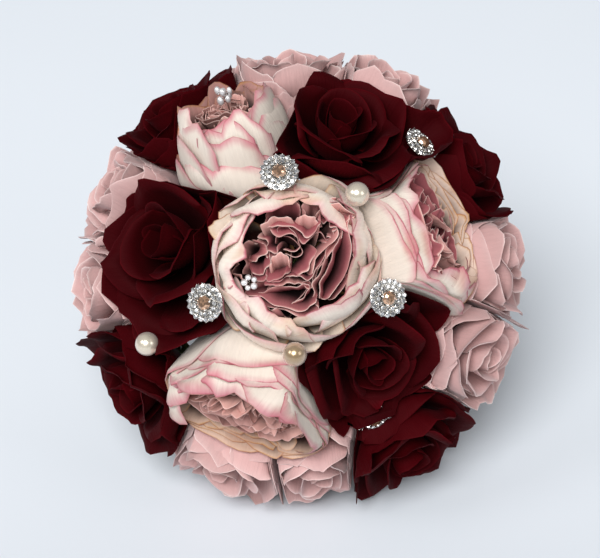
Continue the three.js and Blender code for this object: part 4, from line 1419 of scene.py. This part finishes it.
def stem_finish(name, colour):
    """Green plastic with lengthwise ridges and a matte bloom."""
    f = Finish(name)
    at = f.point()
    patches = f.noise(at, 90.0, 3.0)
    ridges = f.noise(f.stretched(at, (1.0, 0.25, 0.25)), 1400.0, 2.0)
    colour = f.blend(patches, scaled(colour, 0.7), scaled(colour, 1.25))
    f.set(Base_Color=f.blend(f.times(ridges, 0.35), colour, paint("7c8450")))
    f.set(Roughness=f.spread(ridges, 0.2, 0.8, 0.45, 0.7), Normal=f.bump(ridges, 0.3, 0.0004))
    return f.material


def leaf_finish(name, colour):
    """A leaf's cloth: a pale midrib, slanting veins, darker patches and a waxy face."""
    f = Finish(name)
    across, along, _ = f.parts("petal_place")
    at = f.point()
    patches = f.noise(at, 140.0, 3.0)
    aside = f.number("ABSOLUTE", across)
    slant = f.plus(f.times(along, 60.0), f.times(aside, -14.0))
    veins = f.spread(f.number("SINE", slant), 0.86, 1.0)
    lines = f.number("MAXIMUM", f.times(veins, 0.5), f.spread(aside, 0.1, 0.02))
    colour = f.blend(patches, scaled(colour, 0.55), scaled(colour, 1.1))
    f.set(Base_Color=f.blend(f.times(lines, 0.5), colour, paint("7f8a52")))
    f.set(Roughness=f.spread(patches, 0.2, 0.8, 0.4, 0.6), Normal=f.bump(lines, 0.4, 0.0006))
    return f.material


def satin_finish(name, colour):
    """Woven satin: fine ribs along the ribbon, a soft sheen, and painted shade in its folds."""
    f = Finish(name)
    at = f.point()
    ribs = f.noise(at, 2200.0, 1.0)
    folds = f.noise(at, 60.0, 3.0)
    # Painted shade and light: darker in the low parts of the folds and lighter on their crests, following
    # their relief
    f.set(Base_Color=f.blend(folds, scaled(colour, 0.88), scaled(colour, 1.05)))
    f.set(Roughness=f.spread(ribs, 0.2, 0.8, 0.28, 0.42))
    f.set(Normal=f.bump(folds, 0.35, 0.002, f.bump(ribs, 0.12, 0.0002)))
    f.set(Sheen_Weight=0.5, Sheen_Roughness=0.3, Specular_IOR_Level=0.6)
    return f.material


def build_petals(name, bloom, sheets, cloth, material, slot, node):
    """Makes one bloom's petals as a piece."""
    sizes = bpy.context.scene.posy_petals
    values = {
        "Thickness": sizes.thickness,
        "Ruffle height": sizes.ruffle,
        "Ruffle size": sizes.ruffle_size,
        "Seed": float(bloom.azimuth),
        "Material": material,
    }
    return declared(grown(name, cloth, values, sheet_mesh(name, sheets)), slot, node)


class POSY_OT_peonies(bpy.types.Operator):
    """Four peonies with cream cups and mauve hearts"""

    bl_idname = "posy.peonies"
    bl_label = "Peonies"

    def execute(self, context):
        petals = context.scene.posy_petals
        cream, blush, gold = tuple(petals.cream), tuple(petals.blush), tuple(petals.gold)
        # The ruffles' roots darken to near black: painted shade in the gaps between them
        mauves = [
            petal_finish(
                name,
                colour,
                scaled(colour, 0.9),
                margin=paint("dfaca2"),
                root=paint("160306"),
                line=paint("ecd2ca"),
                tint=(1.0, 0.7, 0.7),
                wide=2.4,
                blush=0.85,
                sheen=0.03,
                shine=0.05,
                inner_root_shade=(0.92, 0.25),
                outer_root_shade=(0.92, 0.25),
                pale=paint("dcaaa0"),
            )
            for name, colour in (
                ("Mauve petal cloth", tuple(petals.mauve)),
                ("Pale mauve petal cloth", tuple(petals.pale_mauve)),
            )
        ]
        tree = cloth_tree()
        for bloom in POSY_BLOOMS:
            if bloom.kind != "peony":
                continue
            name, painted_light_lift, inside, patch, inner_root_shade, soft_blush, is_pale = PEONY_CLOTHS[bloom.name]
            # The middle peony's outside is painted brighter, painted light that makes up for the shade its
            # cups stand in; each inside darkens toward its root with painted shade
            cloth = petal_finish(
                name,
                scaled(cream, painted_light_lift),
                paint(inside),
                margin=blush,
                root=paint("280e0a"),
                line=paint("a85866"),
                tint=(1.0, 0.93, 0.9),
                wide=2.4,
                blush=0.9,
                sheen=0.15,
                soft_blush=soft_blush,
                inner_root_shade=inner_root_shade,
                inner_margin=gold,
                inner_line=paint("8a5034"),
                patch=paint(patch),
            )
            cups = petals_of(bloom, RIM_CUPS if bloom.reach > INNER_REACH else RING_CUPS + [FLARED])
            build_petals(bloom.name + "_cups", bloom, cups, tree, cloth, "cream_petals", bloom.name)
            name, heart = bloom.name + "_ruffles", bloom.name + "_heart"
            build_petals(name, bloom, ruffles_of(bloom), tree, mauves[is_pale], "mauve_petals", heart)
        return {"FINISHED"}


class POSY_OT_burgundy_roses(bpy.types.Operator):
    """Seven burgundy roses"""

    bl_idname = "posy.burgundy_roses"
    bl_label = "Burgundy Roses"

    def execute(self, context):
        wine = tuple(context.scene.posy_petals.burgundy)
        # The rims are painted lighter, a painted highlight of the velvet's sheen and partly its paler cut
        # fibres; the roots darken to near black, painted shade deep in the bloom
        cloth = petal_finish(
            "Burgundy petal cloth",
            wine,
            scaled(wine, 0.8),
            margin=scaled(wine, 1.3),
            root=scaled(wine, 0.15),
            line=scaled(wine, 1.6),
            tint=(1.0, 0.15, 0.2),
            wide=4.0,
            blush=0.4,
            sheen=0.02,
            shine=0.05,
            rough=0.7,
            inner_root_shade=(0.95, 0.3),
            outer_root_shade=(0.9, 0.2),
        )
        tree = cloth_tree()
        for bloom in POSY_BLOOMS:
            if bloom.kind == "burgundy_rose":
                sheets = petals_of(bloom, RIM_ROSE if bloom.reach > OUTER_REACH else RING_ROSE)
                name = bloom.name + "_petals"
                build_petals(name, bloom, sheets, tree, cloth, "burgundy_petals", bloom.name)
        return {"FINISHED"}


class POSY_OT_pink_roses(bpy.types.Operator):
    """Eight dusty pink roses"""

    bl_idname = "posy.pink_roses"
    bl_label = "Pink Roses"

    def execute(self, context):
        pink = tuple(context.scene.posy_petals.dusty_pink)
        # The roots darken, partly the cloth's dye and partly painted shade deep in the bloom
        cloth = petal_finish(
            "Dusty pink petal cloth",
            pink,
            scaled(pink, 0.92),
            margin=paint("e0c8c4"),
            root=paint("744244"),
            line=paint("ecdcd8"),
            tint=(1.0, 0.9, 0.9),
            wide=4.0,
            blush=0.5,
            sheen=0.3,
        )
        tree = cloth_tree()
        for bloom in POSY_BLOOMS:
            if bloom.kind == "pink_rose":
                name, sheets = bloom.name + "_petals", petals_of(bloom, PINK_ROSE)
                build_petals(name, bloom, sheets, tree, cloth, "pink_petals", bloom.name)
        return {"FINISHED"}


class POSY_OT_stems(bpy.types.Operator):
    """Nineteen stems with their calyxes, bound into the handle"""

    bl_idname = "posy.stems"
    bl_label = "Stems"

    def execute(self, context):
        stems = context.scene.posy_stems
        plastic = stem_finish("Green stem plastic", tuple(stems.green))
        leaf = leaf_finish("Green leaf cloth", tuple(stems.green))
        tree, cloth = stem_tree(), cloth_tree()
        for bloom in POSY_BLOOMS:
            values = {"Thickness": LEAF_THICKNESS, "Seed": float(bloom.azimuth), "Material": leaf}
            sepals = sheet_mesh(bloom.name, leaf_sheets(bloom))
            declared(grown(bloom.name + "_green_leaves", cloth, values, sepals), "stems")
            top = bloom.seat - bloom.axis * CALYX_TOP
            route = route_to_handle(top - bloom.axis * CALYX_DEPTH, -bloom.axis, bloom.slot, 0.34, 0.42)
            line = np.concatenate([[top - bloom.axis * depth for depth, _ in CALYX], route])
            girth = [width * bloom.radius for _, width in CALYX] + [stems.radius / MM] * len(route)
            source = line_mesh(bloom.name, [(line, girth)])
            values = {"Sides": stems.sides, "Material": plastic}
            declared(grown(bloom.name + "_green_stem", tree, values, source), "stems", bloom.name + "_stem")
        return {"FINISHED"}


class POSY_OT_brooches(bpy.types.Operator):
    """Five round brooches on wires"""

    bl_idname = "posy.brooches"
    bl_label = "Brooches"

    def execute(self, context):
        jewels = context.scene.posy_jewels
        champagne = tuple(jewels.champagne)
        silver = metal_finish("Brooch silver", tuple(jewels.silver))
        # Each stone's second colour is the dark of its painted reflections
        clear = stone_finish("Clear stone", (1.0, 1.0, 1.0), (0.34, 0.34, 0.35))
        peach = stone_finish("Champagne stone", champagne, scaled(champagne, 0.45))
        setting, stones, centre = brooch_setting_tree(), brooch_stones_tree(), brooch_centre_tree()
        for n, pin in enumerate(BROOCHES, 1):
            place, angles = turn_of(*spot(*pin[:4]))
            values = {
                "Place": place,
                "Angles": angles,
                "Radius": jewels.brooch_radius,
                "Outer stones": jewels.stones,
                "Inner stones": jewels.inner_stones,
                "Seed": n,
            }
            wire = wire_mesh(pin, context.scene.posy_stems.wire_radius)
            name, middle = "brooch_%d" % n, "brooch_stone_%d" % n
            declared(grown(name + "_setting", setting, {**values, "Material": silver}, wire), "silver", name)
            declared(grown(name + "_clear_stones", stones, {**values, "Material": clear}), "crystal")
            stone = grown(name + "_centre_stone", centre, {**values, "Material": peach})
            declared(stone, "centre_stone", middle)
        return {"FINISHED"}


class POSY_OT_pearls(bpy.types.Operator):
    """Three pearls on wires"""

    bl_idname = "posy.pearls"
    bl_label = "Pearls"

    def execute(self, context):
        jewels = context.scene.posy_jewels
        silver = metal_finish("Wire silver", tuple(jewels.silver))
        ivory = pearl_finish("Ivory pearl", tuple(jewels.ivory))
        bronze = pearl_finish("Champagne pearl", tuple(jewels.bronze))
        beads, rod = bead_tree(), stem_tree()
        for n, pin in enumerate(PEARLS, 1):
            name = "pearl_%d" % n
            wire = wire_mesh(pin, context.scene.posy_stems.wire_radius)
            declared(grown(name + "_wire", rod, {"Sides": 8, "Material": silver}, wire), "silver")
            middle, *directions = spot(*pin[:4])
            _, angles = turn_of(middle, *directions)
            values = {
                "Radius": jewels.pearl_radius,
                "Segments": 48,
                "Angles": angles,
                "Material": bronze if n == BRONZE_PEARL else ivory,
            }
            bead = point_mesh("pearl", middle, [1.0])
            declared(grown(name + "_bead", beads, values, bead), "pearl", name)
        return {"FINISHED"}


def spray_threads(centre, tip, count, is_loose, dice):
    """A spray's bowed threads in its bloom's own frame. Loose ones spread unevenly."""
    threads = []
    start = np.array([*centre, tip - THREAD_DROP])
    for n in range(count):
        turn = 2 * math.pi * n / count
        out = dice.uniform(1.2, 4.2) if is_loose else 2.6
        high = tip - (dice.uniform(-0.5, 7.0) if is_loose else 1.0)
        end = np.array([centre[0] + out * math.cos(turn), centre[1] + out * math.sin(turn), high])
        t = np.linspace(0, 1, 7)[:, None]
        bow = np.array([0, 0, THREAD_BOW]) * np.sin(t * math.pi)
        threads.append((start + (end - start) * t + bow, end))
    return threads


class POSY_OT_sprays(bpy.types.Operator):
    """Two sprays of crystal beads on fine wires"""

    bl_idname = "posy.sprays"
    bl_label = "Bead Sprays"

    def execute(self, context):
        jewels = context.scene.posy_jewels
        silver = metal_finish("Spray wire", tuple(jewels.silver))
        clear = pearl_finish("White bead", (0.9, 0.9, 0.92))
        beads, rod = bead_tree(), stem_tree()
        for n, (peony, angle, reach, foot, top, count, stretch, is_loose) in enumerate(SPRAYS, 1):
            bloom = next(bloom for bloom in POSY_BLOOMS if bloom.name == peony)
            centre = [reach * math.cos(math.radians(angle)), reach * math.sin(math.radians(angle))]
            dice = np.random.default_rng(n)
            tip = top * bloom.tall
            stalk = [[*centre, z] for z in np.linspace(foot * bloom.tall, tip - STALK_DROP, 6)]
            threads = spray_threads(centre, tip, count, is_loose, dice)
            lines = [(bloom.place(np.array(stalk)), [STALK_RADIUS] * 6)]
            lines += [(bloom.place(points), [THREAD_RADIUS] * 7) for points, _ in threads]
            name = "crystal_spray_%d" % n
            source = line_mesh("spray", lines)
            declared(grown(name + "_wires", rod, {"Sides": 6, "Material": silver}, source), "silver")
            ends = bloom.place(np.array([end for _, end in threads]))
            source = point_mesh("beads", ends, dice.uniform(0.85, 1.15, count))
            _, angles = turn_of(bloom.middle, bloom.axis, bloom.across, bloom.side)
            values = {
                "Radius": jewels.bead_radius,
                "Segments": 20,
                "Length": stretch,
                "Angles": angles,
                "Material": clear,
            }
            declared(grown(name + "_beads", beads, values, source), "crystal", name)
        return {"FINISHED"}


class POSY_OT_ribbon(bpy.types.Operator):
    """The ribbon wound round the handle"""

    bl_idname = "posy.ribbon"
    bl_label = "Ribbon"

    def execute(self, context):
        ribbon = context.scene.posy_ribbon
        satin = satin_finish("Ivory satin", tuple(ribbon.satin))
        middle = np.array([0.0, 0.0, (RIBBON_TOP + RIBBON_END) / 2])
        place, angles = turn_of(middle, np.array([0.0, 0, 1]), np.array([1.0, 0, 0]), np.array([0.0, 1, 0]))
        values = {
            "Place": place,
            "Angles": angles,
            "Turns": ribbon.turns,
            "Radius": ribbon.radius,
            "Length": (RIBBON_TOP - RIBBON_END) * MM - ribbon.width,
            "Width": ribbon.width,
            "Material": satin,
        }
        declared(grown("ribbon_binding", ribbon_tree(), values), "ribbon", "ribbon_wrap")
        return {"FINISHED"}


# The sun's power, how wide it is in degrees and where it shines, each panel's place, size and power, and the
# sky's colour and power
SUN_POWER, SUN_WIDTH, SUN_WAY = 3.15, 34, (0.16, 0.68, -0.72)
PANELS = (("left panel", (-0.9, -0.5, 0.9), 0.4, 3.0), ("right panel", (0.9, -0.7, 0.7), 0.5, 2.0))
SKY_COLOUR, SKY_POWER = (0.95, 0.97, 1.0), 0.2


class POSY_OT_stage(bpy.types.Operator):
    """The floor, the lights and the camera"""

    bl_idname = "posy.stage"
    bl_label = "Stage"

    def execute(self, context):
        stage = context.scene.posy_stage
        f = Finish("Pale floor")
        mottle = f.noise(f.point(), 3.0)
        colour = tuple(stage.floor)
        colour = f.blend(mottle, scaled(colour, 0.985), scaled(colour, 1.01))
        # Painted shade: the floor darkens by up to a fifth toward the front, nearer the camera
        toward = f.add("ShaderNodeSeparateXYZ", {0: f.point()}, out=1)
        f.set(Base_Color=f.shaded(colour, f.spread(toward, 0.1, -0.35, 1.0, 0.8)), Roughness=0.8)
        corners = np.array([[-3, -3, 0], [3, -3, 0], [3, 3, 0], [-3, 3, 0]], dtype=float)
        mesh = quad_mesh("floor", corners, np.array([[0, 1, 2, 3]]), {})
        mesh.materials.append(f.material)
        floor = bpy.data.objects.new("floor", mesh)
        context.scene.collection.objects.link(floor)

        camera = bpy.data.objects.new("camera", bpy.data.cameras.new("camera"))
        camera.location = BASE + TURN @ Vector((0.0, 0.0, 1.0)) * stage.distance
        camera.rotation_euler = TURN.to_euler()
        camera.data.lens = stage.lens
        camera.data.sensor_width = 36.0
        camera.data.clip_start, camera.data.clip_end = 0.01, 20.0
        context.scene.collection.objects.link(camera)
        context.scene.camera = camera

        sun = bpy.data.objects.new("soft sun", bpy.data.lights.new("soft sun", "SUN"))
        sun.data.energy, sun.data.angle = SUN_POWER, math.radians(SUN_WIDTH)
        sun.rotation_euler = Vector(SUN_WAY).to_track_quat("-Z", "Y").to_euler()
        context.scene.collection.objects.link(sun)
        for name, place, size, power in PANELS:
            lamp = bpy.data.lights.new(name, "AREA")
            lamp.size, lamp.energy = size, power
            holder = bpy.data.objects.new(name, lamp)
            holder.location = place
            holder.rotation_euler = (Vector((0, 0, 0.1)) - Vector(place)).to_track_quat("-Z", "Y").to_euler()
            context.scene.collection.objects.link(holder)
        world = bpy.data.worlds.new("Pale studio")
        world.use_nodes = True
        sky = world.node_tree.nodes["Background"].inputs
        sky["Color"].default_value, sky["Strength"].default_value = (*SKY_COLOUR, 1.0), SKY_POWER
        context.scene.world = world
        context.scene.view_settings.view_transform = "Standard"
        return {"FINISHED"}


class POSY_PT_panel(bpy.types.Panel):
    """The pieces of the posy and their sizes and colours"""

    bl_label = "Posy"
    bl_idname = "POSY_PT_panel"
    bl_space_type = "VIEW_3D"
    bl_region_type = "UI"
    bl_category = "Posy"

    def draw(self, context):
        for operator in OPERATORS:
            self.layout.operator(operator.bl_idname)
        for name, group in GROUPS.items():
            box = self.layout.box()
            for key in group.__annotations__:
                box.prop(getattr(context.scene, name), key)


GROUPS = {
    "posy_petals": PosyPetals,
    "posy_stems": PosyStems,
    "posy_jewels": PosyJewels,
    "posy_ribbon": PosyRibbon,
    "posy_stage": PosyStage,
}
OPERATORS = (
    POSY_OT_stage,
    POSY_OT_peonies,
    POSY_OT_burgundy_roses,
    POSY_OT_pink_roses,
    POSY_OT_stems,
    POSY_OT_brooches,
    POSY_OT_pearls,
    POSY_OT_sprays,
    POSY_OT_ribbon,
)


def register():
    for group in GROUPS.values():
        bpy.utils.register_class(group)
    for name, group in GROUPS.items():
        setattr(bpy.types.Scene, name, PointerProperty(type=group))
    for operator in (*OPERATORS, POSY_PT_panel):
        bpy.utils.register_class(operator)


def unregister():
    for operator in reversed((*OPERATORS, POSY_PT_panel)):
        bpy.utils.unregister_class(operator)
    for name, group in GROUPS.items():
        delattr(bpy.types.Scene, name)
        bpy.utils.unregister_class(group)


def main():
    """Makes every piece in order."""
    register()
    for operator in OPERATORS:
        group, name = operator.bl_idname.split(".")
        getattr(getattr(bpy.ops, group), name)()


if __name__ == "__main__":
    main()
